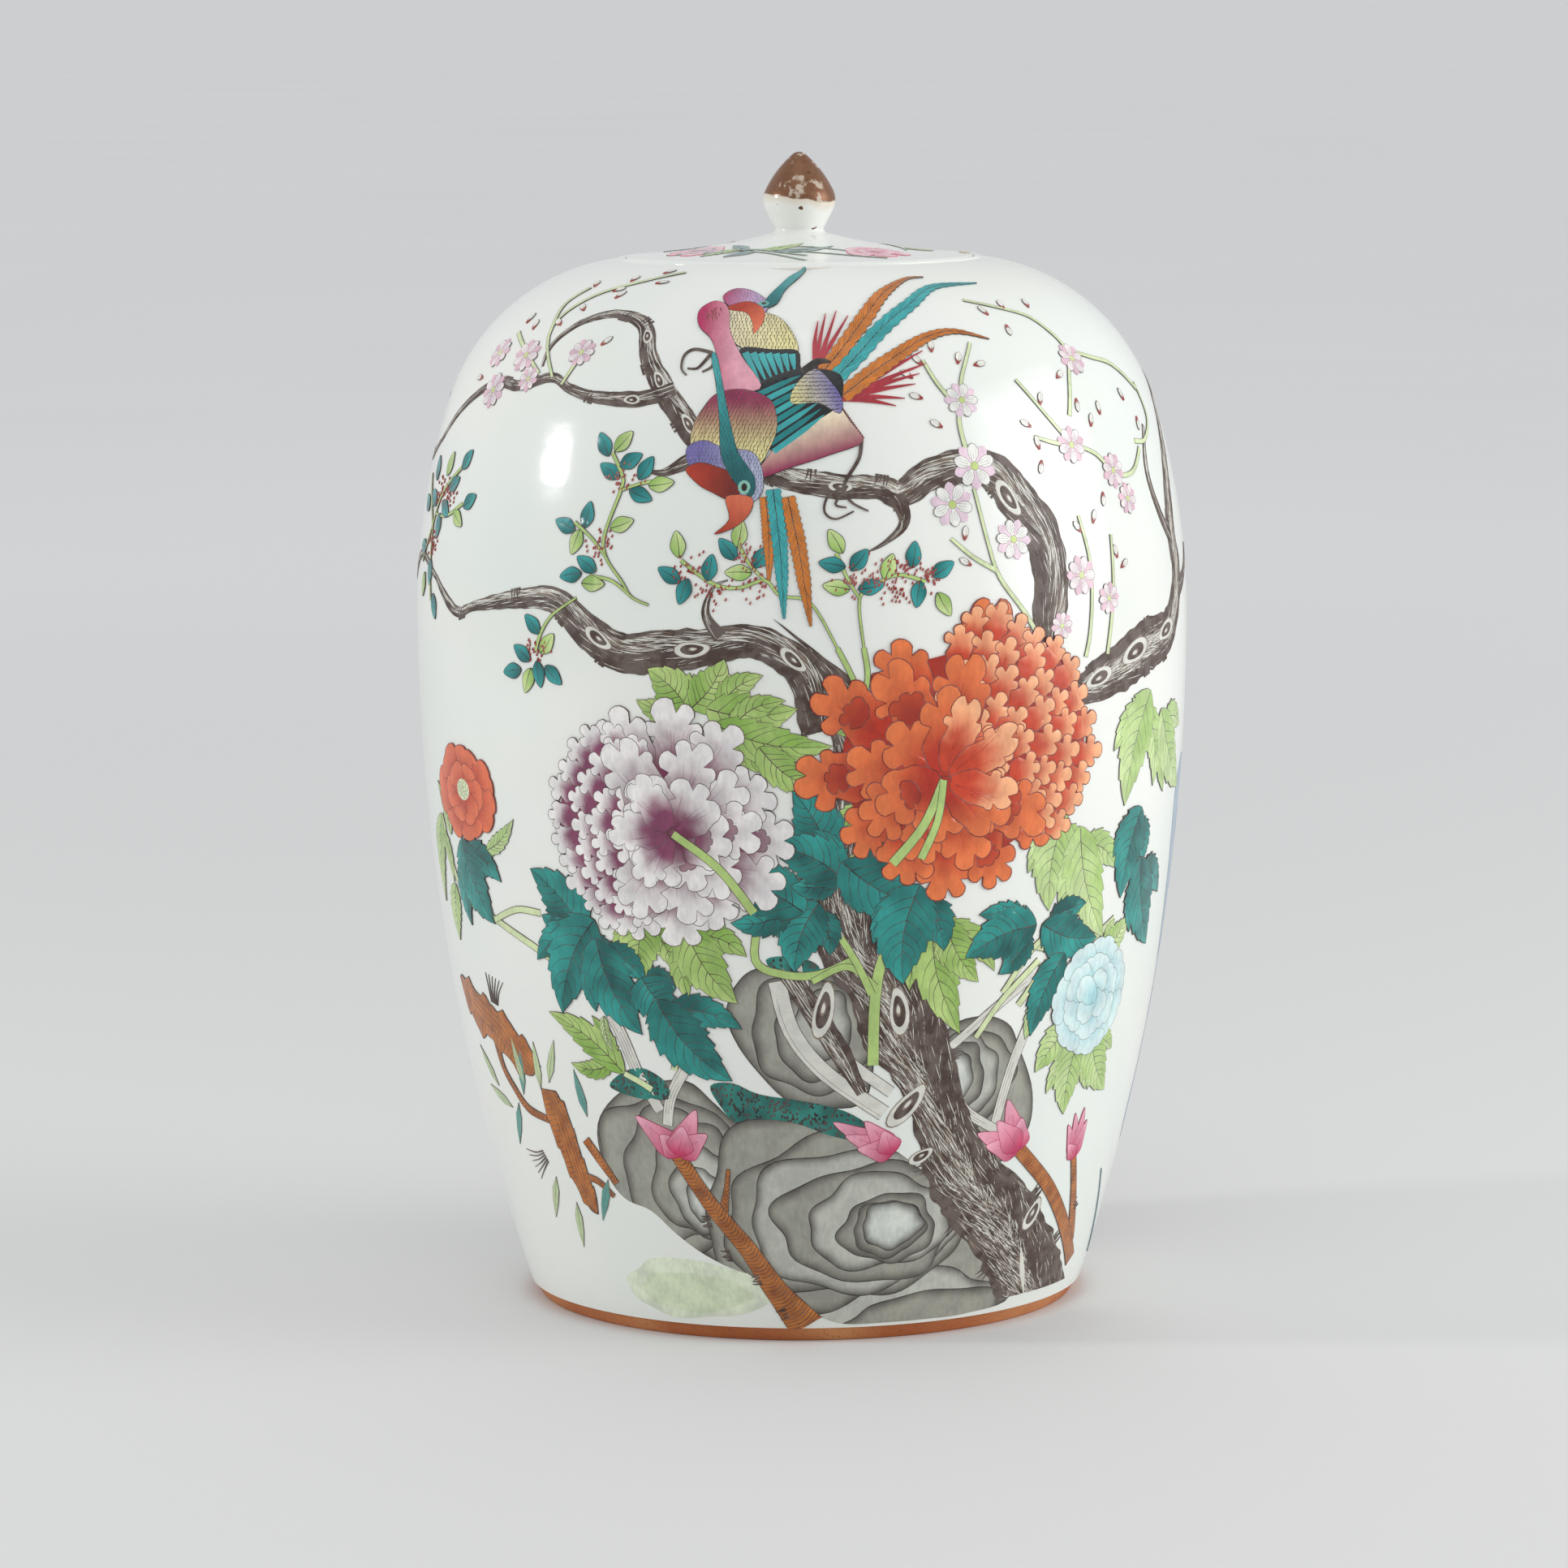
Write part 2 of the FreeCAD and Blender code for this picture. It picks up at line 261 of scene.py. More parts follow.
def inkMaterial(name):
    recipe = Recipe("drawn_" + name)
    colour, roughness = inks[name]
    pool = recipe.noise(recipe.place(), 260.0, 3.0)
    thin, full = blendColour(colour, srgb(255, 250, 240), 0.07), blendColour(colour, srgb(0, 0, 0), 0.12)
    tone = recipe.mix(recipe.between(pool, 0.36, 0.64), full, thin)
    return recipe.finish(Base_Color=tone, Roughness=pool * 0.14 + (roughness - 0.07))


porcelain = glazeMaterial()
bareClay = biscuitMaterial()
wornGold = knobMaterial()
enamel = enamelMaterial()
inkMaterials = {name: inkMaterial(name) for name in inks}
print("materials ready")


# turned pieces

turning = {
    "segments": 288,
    "step": 2.4 * mm,       # distance between rings
    "corner": 24.0,         # a sharper turn than this, in degrees, is an edge
}


def sectionOf(node):  # the half section of a turned node, read along its seam, in order
    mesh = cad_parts[node].data
    def key(point):
        return (round(point.x, 6), round(point.z, 6))
    onSeam = {v.index: key(v.co) for v in mesh.vertices if abs(v.co.y) < 1e-6 and v.co.x > -1e-9}
    links = {}
    for edge in mesh.edges:
        first, second = edge.vertices
        if first in onSeam and second in onSeam and onSeam[first] != onSeam[second]:
            links.setdefault(onSeam[first], set()).add(onSeam[second])
            links.setdefault(onSeam[second], set()).add(onSeam[first])
    ends = sorted(point for point in links if len(links[point]) == 1)
    start = ends[0] if ends else min(links)
    walk, before, here = [start], None, start
    while True:
        onward = sorted(point for point in links[here] if point != before)
        if not onward or onward[0] == start:
            break
        before, here = here, onward[0]
        walk.append(here)
    closed = not ends
    if ends:  # a disc has no seam up to the axis, so the walk is taken there
        walk = [(0.0, walk[0][1])] + walk + [(0.0, walk[-1][1])]
        walk = [p for i, p in enumerate(walk) if i == 0 or p != walk[i - 1]]
    return [Vector(point) for point in walk], closed


def runsOf(node):  # the section cut at its corners, each run made smooth and evenly divided
    points, closed = sectionOf(node)
    count = len(points)
    def turn(index):
        back = points[index] - points[index - 1]
        forth = points[(index + 1) % count] - points[index]
        return math.degrees(back.angle(forth))
    middle = range(count) if closed else range(1, count - 1)
    corners = [index for index in middle if turn(index) > turning["corner"]]
    if not closed:
        corners = [0] + corners + [count - 1]
    runs = []
    pairs = list(zip(corners, corners[1:]))
    if closed:
        pairs.append((corners[-1], corners[0] + count))
    for begin, end in pairs:
        runs.append(smoothRun([points[i % count] for i in range(begin, end + 1)]))
    return runs, closed


def smoothRun(points):
    if len(points) == 2:
        pieces = max(1, round((points[1] - points[0]).length / (3 * turning["step"])))
        return [points[0].lerp(points[1], i / pieces) for i in range(pieces + 1)]
    ways = [(b - a).normalized() for a, b in zip(points, points[1:])]
    lengths = [(b - a).length for a, b in zip(points, points[1:])]
    tangents = []
    for i in range(len(points)):
        if 0 < i < len(points) - 1:
            tangents.append((ways[i - 1] * lengths[i] + ways[i] * lengths[i - 1]).normalized())
        else:
            tangents.append(None)
    tangents[0] = tangents[1].reflect(ways[0].orthogonal()).normalized()
    tangents[-1] = tangents[-2].reflect(ways[-1].orthogonal()).normalized()
    made = [points[0]]
    for i, length in enumerate(lengths):
        pieces = max(1, math.ceil(length / turning["step"]))
        for j in range(1, pieces + 1):
            t = j / pieces
            a, b = points[i], points[i + 1]
            made.append(a * (2 * t ** 3 - 3 * t ** 2 + 1) + b * (3 * t ** 2 - 2 * t ** 3)
                        + tangents[i] * length * (t ** 3 - 2 * t ** 2 + t)
                        + tangents[i + 1] * length * (t ** 3 - t ** 2))
    return made


def turnedPiece(name, node, material, body):
    runs, closed = runsOf(node)
    outline = [point for run in runs for point in run[:-1]]
    if not closed:
        outline.append(runs[-1][-1])
    count, rows = turning["segments"], len(outline)
    vertices, rings = [], []
    for point in outline:
        if point.x < 1e-7:
            rings.append([len(vertices)] * count)
            vertices.append((0, 0, point.y))
            continue
        rings.append(list(range(len(vertices), len(vertices) + count)))
        for i in range(count):
            angle = 2 * math.pi * i / count
            vertices.append((point.x * math.cos(angle), point.x * math.sin(angle), point.y))
    faces, spots = [], []
    for row in range(rows if closed else rows - 1):
        low, high = rings[row], rings[(row + 1) % rows]
        for i in range(count):
            j = (i + 1) % count
            corners = [(low[i], i, row), (low[j], i + 1, row), (high[j], i + 1, row + 1),
                       (high[i], i, row + 1)]
            unique = [c for n, c in enumerate(corners) if c[0] not in [d[0] for d in corners[:n]]]
            faces.append([c[0] for c in unique])
            spots += [(c[1] / count, c[2] / rows) for c in unique]
    piece = meshPiece(name, vertices, faces, spots, material)
    piece.data.set_sharp_from_angle(angle=math.radians(turning["corner"]))
    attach(piece, body)
    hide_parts(node)
    return piece


def meshPiece(name, vertices, faces, spots, material):
    mesh = bpy.data.meshes.new(name)
    mesh.from_pydata(vertices, [], faces)
    if spots:
        layer = mesh.uv_layers.new(name="OFBake")
        layer.data.foreach_set("uv", [part for spot in spots for part in spot])
    mesh.polygons.foreach_set("use_smooth", [True] * len(mesh.polygons))
    mesh.materials.append(material)
    mesh.update()
    piece = bpy.data.objects.new(name, mesh)
    bpy.context.scene.collection.objects.link(piece)
    return piece


turnedPiece("foot_ring_biscuit", "foot_ring", bareClay, "jar")
turnedPiece("base_floor_glazed", "base_floor", porcelain, "jar")
turnedPiece("lower_wall_glazed", "jar_lower_wall", porcelain, "jar")
turnedPiece("upper_wall_glazed", "jar_upper_wall", porcelain, "jar")
turnedPiece("mouth_collar_glazed", "mouth_collar", porcelain, "jar")
turnedPiece("lid_cover_glazed", "lid_cover", porcelain, "lid")
turnedPiece("lid_flange_biscuit", "lid_flange", bareClay, "lid")
turnedPiece("lid_knob_gilded", "lid_knob", wornGold, "lid")
print("turned pieces ready")


# the surface that is painted

class Surface:  # outer line of the pot; places on it are mm around and mm along
    def __init__(self, runs, start):
        points = [point for run in runs for point in run]
        points = [p for i, p in enumerate(points) if i == 0 or (p - points[i - 1]).length > 1e-7]
        self.radius = np.array([p.x for p in points]) / mm
        self.height = np.array([p.y for p in points]) / mm
        steps = np.hypot(np.diff(self.radius), np.diff(self.height))
        self.along = np.concatenate([[0], np.cumsum(steps)]) + start
        slopeRadius = np.gradient(self.radius, self.along)
        slopeHeight = np.gradient(self.height, self.along)
        size = np.hypot(slopeRadius, slopeHeight)
        self.outRadius = slopeHeight / size
        self.outHeight = -slopeRadius / size
        self.around = float(self.radius.max())  # mm around are measured at this radius

    def stretch(self, along):
        return self.around / float(np.interp(along, self.along, self.radius))

    def raised(self, around, along, lift):  # points in metres, lift in mm above the glaze
        along = np.asarray(along)
        radius = np.interp(along, self.along, self.radius)
        height = np.interp(along, self.along, self.height)
        radius = radius + np.interp(along, self.along, self.outRadius) * lift
        height = height + np.interp(along, self.along, self.outHeight) * lift
        angle = np.asarray(around) / self.around
        return np.stack([radius * np.sin(angle), -radius * np.cos(angle), height], 1) * mm


def longRun(node, place):  # of the two long runs, the one that lies further out or further up
    runs, _ = runsOf(node)
    runs = sorted(runs, key=lambda run: -sum((b - a).length for a, b in zip(run, run[1:])))[:2]
    best = max(runs, key=lambda run: sum(place(point) for point in run) / len(run))
    return best


def outerRun(node):
    best = longRun(node, lambda point: point.x)
    return best if best[0].y < best[-1].y else best[::-1]


def topRun(node):
    best = longRun(node, lambda point: point.y)
    return best if best[0].x > best[-1].x else best[::-1]


jar = Surface([outerRun("jar_lower_wall"), outerRun("jar_upper_wall")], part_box("jar_lower_wall")[0].z / mm)
lid = Surface([topRun("lid_cover")], 0.0)
print("jar painted up to %.0f mm along, lid %.0f mm" % (jar.along[-1], lid.along[-1]))


# enamel painting

relief = {
    "first": 0.08,      # mm, lowest layer above the glaze
    "layer": 0.075,     # mm between one painting and the next
    "body": 0.03,      # mm that enamel swells above its drawn lines
    "grid": 1.7,        # mm between points inside a shape
    "line": 0.24,       # mm, usual drawn line
}


def area(points):
    return sum(a.x * b.y - b.x * a.y for a, b in zip(points, points[1:] + points[:1])) / 2


def smooth(points, closed=False, steps=6):  # a curve through the points
    points = [Vector(point) for point in points]
    count = len(points)
    made = []
    for i in range(count if closed else count - 1):
        if closed:
            a, b, c, d = (points[(i + k) % count] for k in (-1, 0, 1, 2))
        else:
            a, b = points[max(i - 1, 0)], points[i]
            c, d = points[i + 1], points[min(i + 2, count - 1)]
        for j in range(steps):
            t = j / steps
            made.append((b * 2 + (c - a) * t + (a * 2 - b * 5 + c * 4 - d) * t ** 2
                         + (b * 3 - a - c * 3 + d) * t ** 3) / 2)
    if not closed:
        made.append(points[-1])
    return made


def inset(points, width):
    if area(points) < 0:
        points = points[::-1]
    count = len(points)
    made = []
    for i in range(count):
        before = (points[i] - points[i - 1])
        after = (points[(i + 1) % count] - points[i])
        way = before.normalized() + after.normalized()
        if way.length < 1e-6:
            made.append(points[i].copy())
            continue
        way.normalize()
        made.append(points[i] + Vector((-way.y, way.x)) * width)
    return made


class Spot:  # a place on the pot with a heading, for shapes drawn in mm from it
    def __init__(self, surface, around, along, heading=0.0, size=1.0):
        self.surface, self.around, self.along = surface, around, along
        self.heading, self.size = math.radians(heading), size

    def put(self, across, forward):  # heading 0 is up the pot, 90 is to the right
        sine, cosine = math.sin(self.heading), math.cos(self.heading)
        right = (across * cosine + forward * sine) * self.size
        up = (forward * cosine - across * sine) * self.size
        along = self.along + up
        return Vector((self.around + right * self.surface.stretch(along), along))

    def shape(self, points):
        return [self.put(*point) for point in points]

    def read(self, point):  # back to mm across and forward
        right = (point.x - self.around) / self.surface.stretch(point.y)
        up = point.y - self.along
        sine, cosine = math.sin(self.heading), math.cos(self.heading)
        return (right * cosine - up * sine) / self.size, (right * sine + up * cosine) / self.size


class Painting:  # shapes laid over one another, cut into one sheet and raised off the glaze
    def __init__(self, name, surface, layer, grid=None):
        self.name, self.surface, self.layer = name, surface, layer
        self.grid = grid or relief["grid"]
        self.shapes = []
        self.clip = None

    def lay(self, points, tint):  # tint is an ink's name, a colour, or a function of the place
        if len(points) < 3 or abs(area(points)) < 0.003:
            return
        self.shapes.append((points if area(points) > 0 else points[::-1], tint, self.clip))

    def inside(self, points, tint):  # what is laid after this shows only inside these points
        self.clip = None
        self.lay(points, tint)
        self.clip = len(self.shapes) - 1

    def open(self):
        self.clip = None

    def drawn(self, points, tint, ink="ink", line=None):  # a shape with a drawn edge
        self.lay(points, ink)
        self.lay(inset(points, line or relief["line"]), tint)

    def aside(self, path, i, offset):  # the place at offset mm to the left of point i of a path
        way = path[min(i + 1, len(path) - 1)] - path[max(i - 1, 0)]
        stretch = self.surface.stretch(path[i].y)
        way = Vector((way.x / stretch, way.y))
        if way.length < 1e-6:
            return path[i].copy()
        way.normalize()
        return path[i] + Vector((-way.y * stretch, way.x)) * offset

    def stroke(self, points, start, end, ink="ink", middle=None, steps=5):
        path = smooth(points, steps=steps) if len(points) > 2 else [Vector(p) for p in points]
        if len(path) < 2 or (path[-1] - path[0]).length < 0.05:
            return
        left, right = [], []
        for i in range(len(path)):
            t = i / (len(path) - 1)
            if middle is None:
                width = start + (end - start) * t
            else:
                width = start + (middle - start) * t * 2 if t < 0.5 else middle + (end - middle) * (t * 2 - 1)
            left.append(self.aside(path, i, width / 2))
            right.append(self.aside(path, i, -width / 2))
        self.lay(left + right[::-1], ink)

    def fire(self, body):
        points, loops, lattice = [], [], set()
        for shape, _, _ in self.shapes:
            loops.append(list(range(len(points), len(points) + len(shape))))
            points += shape
            low = Vector((min(p.x for p in shape), min(p.y for p in shape)))
            high = Vector((max(p.x for p in shape), max(p.y for p in shape)))
            if min(high - low) > self.grid * 0.9:
                rowStep = self.grid * 0.866
                for row in range(math.ceil(low.y / rowStep), math.floor(high.y / rowStep) + 1):
                    for column in range(math.ceil(low.x / self.grid), math.floor(high.x / self.grid) + 1):
                        lattice.add((column, row))
        rowStep = self.grid * 0.866
        for column, row in sorted(lattice):
            points.append(Vector(((column + 0.5 * (row % 2)) * self.grid, row * rowStep)))
        flat, _, triangles, _, _, owners = delaunay_2d_cdt(points, [], loops, 1, 1e-5, True)
        top = []
        for owner in owners:
            shown = [i for i in owner if self.shapes[i][2] is None or self.shapes[i][2] in owner]
            top.append(max(shown) if shown else -1)
        lift = relief["first"] + relief["layer"] * self.layer
        around = np.array([p.x for p in flat])
        along = np.array([p.y for p in flat])
        inside = np.ones(len(flat), bool)
        used = {}
        for triangle, owner in zip(triangles, top):
            for i in range(3):
                edge = tuple(sorted((triangle[i], triangle[(i + 1) % 3])))
                used.setdefault(edge, []).append(owner)
        for (first, second), sides in used.items():
            if len(sides) < 2 or sides[0] != sides[1]:
                inside[first] = inside[second] = False
        heights = np.where(inside, lift + relief["body"], lift)
        places = self.surface.raised(around, along, heights)
        skirt = self.surface.raised(around, along, -0.03)
        groups = {}
        for triangle, owner in zip(triangles, top):
            if owner >= 0:
                tint = self.shapes[owner][1]
                groups.setdefault(tint if isinstance(tint, str) else "enamel", []).append((triangle, owner))
        low, high = np.array([around.min(), along.min()]), np.array([around.max(), along.max()])
        span = np.maximum(high - low, 1e-6)
        for kind, members in groups.items():
            self.sheet(kind, members, flat, places, skirt, used, low, span, body)

    def sheet(self, kind, members, flat, places, skirt, used, low, span, body):
        index, vertices, faces, origin = {}, [], [], []
        def corner(number, lowered=False):
            key = (number, lowered)
            if key not in index:
                index[key] = len(vertices)
                vertices.append(skirt[number] if lowered else places[number])
                origin.append(number)
            return index[key]
        shades, tints, spots = {}, [], []
        def shade(number, owner):
            if (number, owner) not in shades:
                tint = self.shapes[owner][1]
                shades[number, owner] = tint(flat[number]) if callable(tint) else tint
            return shades[number, owner]
        for triangle, owner in members:
            faces.append([corner(number) for number in triangle])
            spots += [tuple((np.array(flat[number]) - low) / span) for number in triangle]
            if kind == "enamel":
                tints += [shade(number, owner) for number in triangle]
            for i in range(3):
                first, second = triangle[i], triangle[(i + 1) % 3]
                sides = used[tuple(sorted((first, second)))]
                if len(sides) < 2 or min(sides) < 0:
                    faces.append([corner(second), corner(first), corner(first, True), corner(second, True)])
                    edgeSpots = [tuple((np.array(flat[n]) - low) / span) for n in (second, first)]
                    spots += edgeSpots + edgeSpots[::-1]
                    if kind == "enamel":
                        tints += [shade(second, owner), shade(first, owner)] * 2
        material = enamel if kind == "enamel" else inkMaterials[kind]
        piece = meshPiece(self.name + "_" + kind, [tuple(v) for v in vertices], faces, spots, material)
        if kind == "enamel":
            layer = piece.data.color_attributes.new("tint", "FLOAT_COLOR", "CORNER")
            layer.data.foreach_set("color", [part for tint in tints for part in tint])
        piece.data.set_sharp_from_angle(angle=math.radians(50))
        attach(piece, body)
        "enamel" if kind == "enamel" else "ink"


# petals and peonies

def petalOutline(length, width, lobes, notch):  # narrow base at 0, rounded lobes at the far end
    centre = length * 0.56
    reach = math.radians(104)
    shares = [paintbox.uniform(0.8, 1.2) for _ in range(lobes)]
    shares = [share * (1.15 if abs(i - (lobes - 1) / 2) < 0.6 else 1) for i, share in enumerate(shares)]
    made, angle = [(-width * 0.16, 0.0), (-width * 0.3, length * 0.12), (-width * 0.42, length * 0.3)], -reach
    for share in shares:
        sweep = 2 * reach * share / sum(shares)
        swell = paintbox.uniform(0.92, 1.06)
        for step in range(7):
            part = step / 7
            turn = angle + sweep * part
            ahead = (length - centre) if abs(turn) < math.pi / 2 else length * 0.34
            ring = 1 / math.hypot(math.sin(turn) / (width / 2), math.cos(turn) / ahead)
            ring *= swell * (1 - notch + notch * math.sin(math.pi * part) ** 0.42)
            made.append((ring * math.sin(turn), centre + ring * math.cos(turn)))
        angle += sweep
    return made + [(width * 0.42, length * 0.3), (width * 0.3, length * 0.12), (width * 0.16, 0.0)]


def aimed(surface, base, tip):  # a spot at the base, heading for the tip, and the length in mm
    stretch = surface.stretch((base[1] + tip[1]) / 2)
    across, up = (tip[0] - base[0]) / stretch, tip[1] - base[1]
    return Spot(surface, base[0], base[1], math.degrees(math.atan2(across, up))), math.hypot(across, up)


def petal(painting, base, tip, width, lobes, look, notch=0.3, shade=0.0):
    spot, length = aimed(painting.surface, base, tip)
    def tint(point):
        across, forward = spot.read(point)
        share = forward / length + 0.12 * noise.noise(Vector((point.x, point.y, 3)) * 0.35) - shade
        share += 0.22 * (abs(across) / width * 2) ** 2
        return blendColour(look["base"], look["tip"], ease(look["from"], look["to"], share))
    outline = petalOutline(length, width, lobes, notch)
    painting.drawn(spot.shape(outline), tint, look["ink"], look["line"])
    for _ in range(look["hairs"]):
        side = paintbox.uniform(-0.3, 0.3) * width
        far = length * paintbox.uniform(0.4, 0.72)
        path = [spot.put(side * 0.2, length * 0.08), spot.put(side * 0.6, far * 0.6), spot.put(side, far)]
        painting.stroke(path, 0.16, 0.05, look["hair"], steps=3)


redPeony = {
    "heart": (38, 160),
    "middle": (44, 168),        # of the whole flower
    "half": (46, 40),
    "outer": {"base": srgb(176, 36, 8), "tip": srgb(232, 122, 66), "from": 0.16, "to": 1.0, "ink": "wine",
              "line": 0.32, "hairs": 5, "hair": srgb(168, 36, 10)},
    "inner": {"base": srgb(196, 58, 22), "tip": srgb(247, 180, 132), "from": 0.3, "to": 0.95, "ink": "wine",
              "line": 0.28, "hairs": 0, "hair": srgb(168, 36, 10)},
    "ground": srgb(164, 38, 14),
    "scales": (12, 112),        # headings, clockwise from up, between which the small petals are packed
    "scale": 9.8,
    "rings": [                  # reach of the tips, reach of the roots, petals, lobes
        (1.0, 0.42, 9, 4), (0.8, 0.16, 7, 4), (0.55, 0.02, 5, 3),
    ],
    "layer": 5,
}
purplePeony = {
    "heart": (-36, 146),
    "middle": (-39, 147),
    "half": (37, 34),
    "outer": {"base": srgb(112, 38, 74), "tip": srgb(236, 233, 231), "from": 0.15, "to": 0.86, "ink": "sepia",
              "line": 0.2, "hairs": 6, "hair": srgb(132, 62, 100)},
    "inner": {"base": srgb(130, 60, 94), "tip": srgb(240, 237, 235), "from": 0.28, "to": 0.8, "ink": "sepia",
              "line": 0.17, "hairs": 1, "hair": srgb(132, 62, 100)},
    "ground": srgb(128, 56, 90),
    "scales": (212, 330),
    "scale": 8.6,
    "rings": [(1.0, 0.42, 9, 4), (0.78, 0.14, 7, 4), (0.52, 0.02, 5, 3)],
    "layer": 5,
}


def reachOf(flower, way):  # mm from the heart to the flower's rim, an ellipse
    across, up = flower["half"]
    side, rise = Vector(flower["middle"]) - Vector(flower["heart"])
    square = (way.x / across) ** 2 + (way.y / up) ** 2
    half = way.x * side / across ** 2 + way.y * rise / up ** 2
    return (half + math.sqrt(half ** 2 - square * ((side / across) ** 2 + (rise / up) ** 2 - 1))) / square


def peony(name, flower):
    painting = Painting(name, jar, flower["layer"], grid=1.25)
    heart = Vector(flower["heart"])
    first, last = flower["scales"]
    def at(heading, share):  # a place by its heading and its share of the reach
        way = Vector((math.sin(math.radians(heading)), math.cos(math.radians(heading))))
        return heart + way * reachOf(flower, way) * share
    def bare(heading):
        return at(heading, 0.88 if first < heading % 360 < last else 0.7)
    painting.lay([bare(10 * turn) for turn in range(36)], flower["ground"])
    def ringPetals(reach, root, count, lobes):
        gap = (360 - (last - first)) / (count - 1)
        order = list(range(count))
        paintbox.shuffle(order)
        for number in order:
            heading = last + gap * number + paintbox.uniform(-0.16, 0.16) * gap
            far = reach * paintbox.uniform(0.86, 1.08)
            tip, base = at(heading, far), at(heading + paintbox.uniform(-6, 6), root)
            width = max((tip - heart).length * math.radians(gap) * 1.16, 9.5)
            petal(painting, base, tip, min(width, 17), lobes, flower["outer"], 0.4)
            if paintbox.random() < 0.3:  # its rim folds back
                deep = blendColour(flower["outer"]["base"], flower["outer"]["tip"], 0.22)
                look = dict(flower["outer"], tip=deep, base=flower["ground"], hairs=0)
                petal(painting, tip.lerp(base, 0.66), tip.lerp(base, 0.36), width * 0.34, 3, look, 0.3)
    ringPetals(*flower["rings"][0])
    size = flower["scale"]
    spread = max((at(turn, 1) - heart).length for turn in range(first, last, 10))
    for row in range(int(spread / size / 0.78)):
        share = 1 - row * size * 0.78 / spread
        if share < 0.3:
            break
        step = math.degrees(size * 0.86 / ((at((first + last) / 2, share) - heart).length))
        heading = first - step * (0.5 if row % 2 else 0)
        while heading < last + step * 0.5:
            place = at(heading, share * paintbox.uniform(0.94, 1.03))
            out = (place - heart).normalized() * size * paintbox.uniform(0.92, 1.1)
            petal(painting, place - out * 1.2, place, size * 0.94, 3, flower["inner"], 0.46)
            heading += step * paintbox.uniform(0.86, 1.14)
    for ring in flower["rings"][1:]:
        ringPetals(*ring)
    for turn in (first + 8, (first + last) / 2, last - 8):
        petal(painting, at(turn, 0.04), at(turn, 0.5), 11.5, 4, dict(flower["inner"], hairs=4), 0.33)
    painting.fire("jar")


peony("red_peony", redPeony)
peony("purple_peony", purplePeony)
print("peonies ready")


# leaves

teal = {"dark": srgb(0, 88, 84), "light": srgb(40, 160, 152), "ink": "ink", "line": 0.2, "teeth": 5}
green = {"dark": srgb(134, 176, 76), "light": srgb(188, 212, 132), "ink": "sepia", "line": 0.15, "teeth": 4}
palegreen = {"dark": srgb(164, 198, 112), "light": srgb(206, 226, 164), "ink": "grey", "line": 0.14,
             "teeth": 4}


def leaf(painting, base, tip, width, look, bend=0.1, veins=5, teeth=None):
    spot, length = aimed(painting.surface, base, tip)
    teeth = look["teeth"] if teeth is None else teeth
    def middle(t):
        return Vector((bend * length * 4 * t * (1 - t), t * length))
    def across(t, side, share=1.0):
        way = (middle(min(t + 0.02, 1)) - middle(max(t - 0.02, 0))).normalized()
        half = width / 2 * math.sin(math.pi * t ** 0.72) ** 0.8 * share
        return middle(t) + Vector((way.y, -way.x)) * half * side
    def edge(side):
        made = []
        for tooth in range(teeth + 2):
            for part, swell in ((0.0, 0.92), (0.35, 1.0), (0.8, 1.08), (0.97, 1.14)):
                t = 0.02 + 0.96 * (tooth + part) / (teeth + 2)
                made.append(across(t, side, swell if teeth else 1.0))
        return made
    outline = [middle(0)] + edge(-1) + [middle(1.02)] + edge(1)[::-1]
    shift = paintbox.uniform(0, 50)
    def tint(point):
        side, forward = spot.read(point)
        t = min(1, max(0, forward / length))
        share = 0.42 + 0.5 * noise.noise(Vector((point.x * 0.16, point.y * 0.16, shift)))
        share += 0.18 * math.copysign(1, side - middle(t).x) + 0.35 * (t - 0.45)
        return blendColour(look["dark"], look["light"], share)
    painting.drawn(spot.shape(outline), tint, look["ink"], look["line"])
    painting.stroke([spot.put(*middle(t)) for t in (0.02, 0.3, 0.6, 0.97)], 0.34, 0.12, look["ink"], steps=4)
    for number in range(veins):
        start = 0.1 + 0.68 * number / veins
        for side in (-1, 1):
            t = start + paintbox.uniform(0.0, 0.05)
            path = [middle(t), across(t + 0.08, side, 0.45), across(min(t + 0.2, 0.95), side, 0.86)]
            painting.stroke([spot.put(*point) for point in path], 0.22, 0.09, look["ink"], steps=3)


def leafGroup(painting, base, tip, width, look, sides=(0.62, 0.62), bend=0.08):  # one leaf cut in three
    base, tip = Vector(base), Vector(tip)
    for side, size in zip((-1, 1), sides):
        if size:
            stretch = jar.stretch(base.y)
            way = Vector(((tip.x - base.x) / stretch, tip.y - base.y)) * size
            turn = -side * math.radians(38)
            way = Vector((way.x * math.cos(turn) - way.y * math.sin(turn),
                          way.x * math.sin(turn) + way.y * math.cos(turn)))
            root = base.lerp(tip, 0.16)
            end = root + Vector((way.x * stretch, way.y))
            leaf(painting, root, end, width * 0.62, look, side * 0.12, 4)
    leaf(painting, base, tip, width, look, bend, 6)


def leafPainting(name, layer, look, rows):  # a row is base, tip, width and the sizes of the side lobes
    painting = Painting(name, jar, layer)
    for base, tip, width, sides in rows:
        leafGroup(painting, base, tip, width, look, sides)
    painting.fire("jar")


# bark, rock and stems

def along(points, count):  # a smooth path as count places, evenly spaced
    path = smooth(points, steps=10)
    steps = [0.0]
    for a, b in zip(path, path[1:]):
        steps.append(steps[-1] + (b - a).length)
    marks = np.linspace(0, steps[-1], count)
    across = np.interp(marks, steps, [p.x for p in path])
    up = np.interp(marks, steps, [p.y for p in path])
    return [Vector(pair) for pair in zip(across, up)]


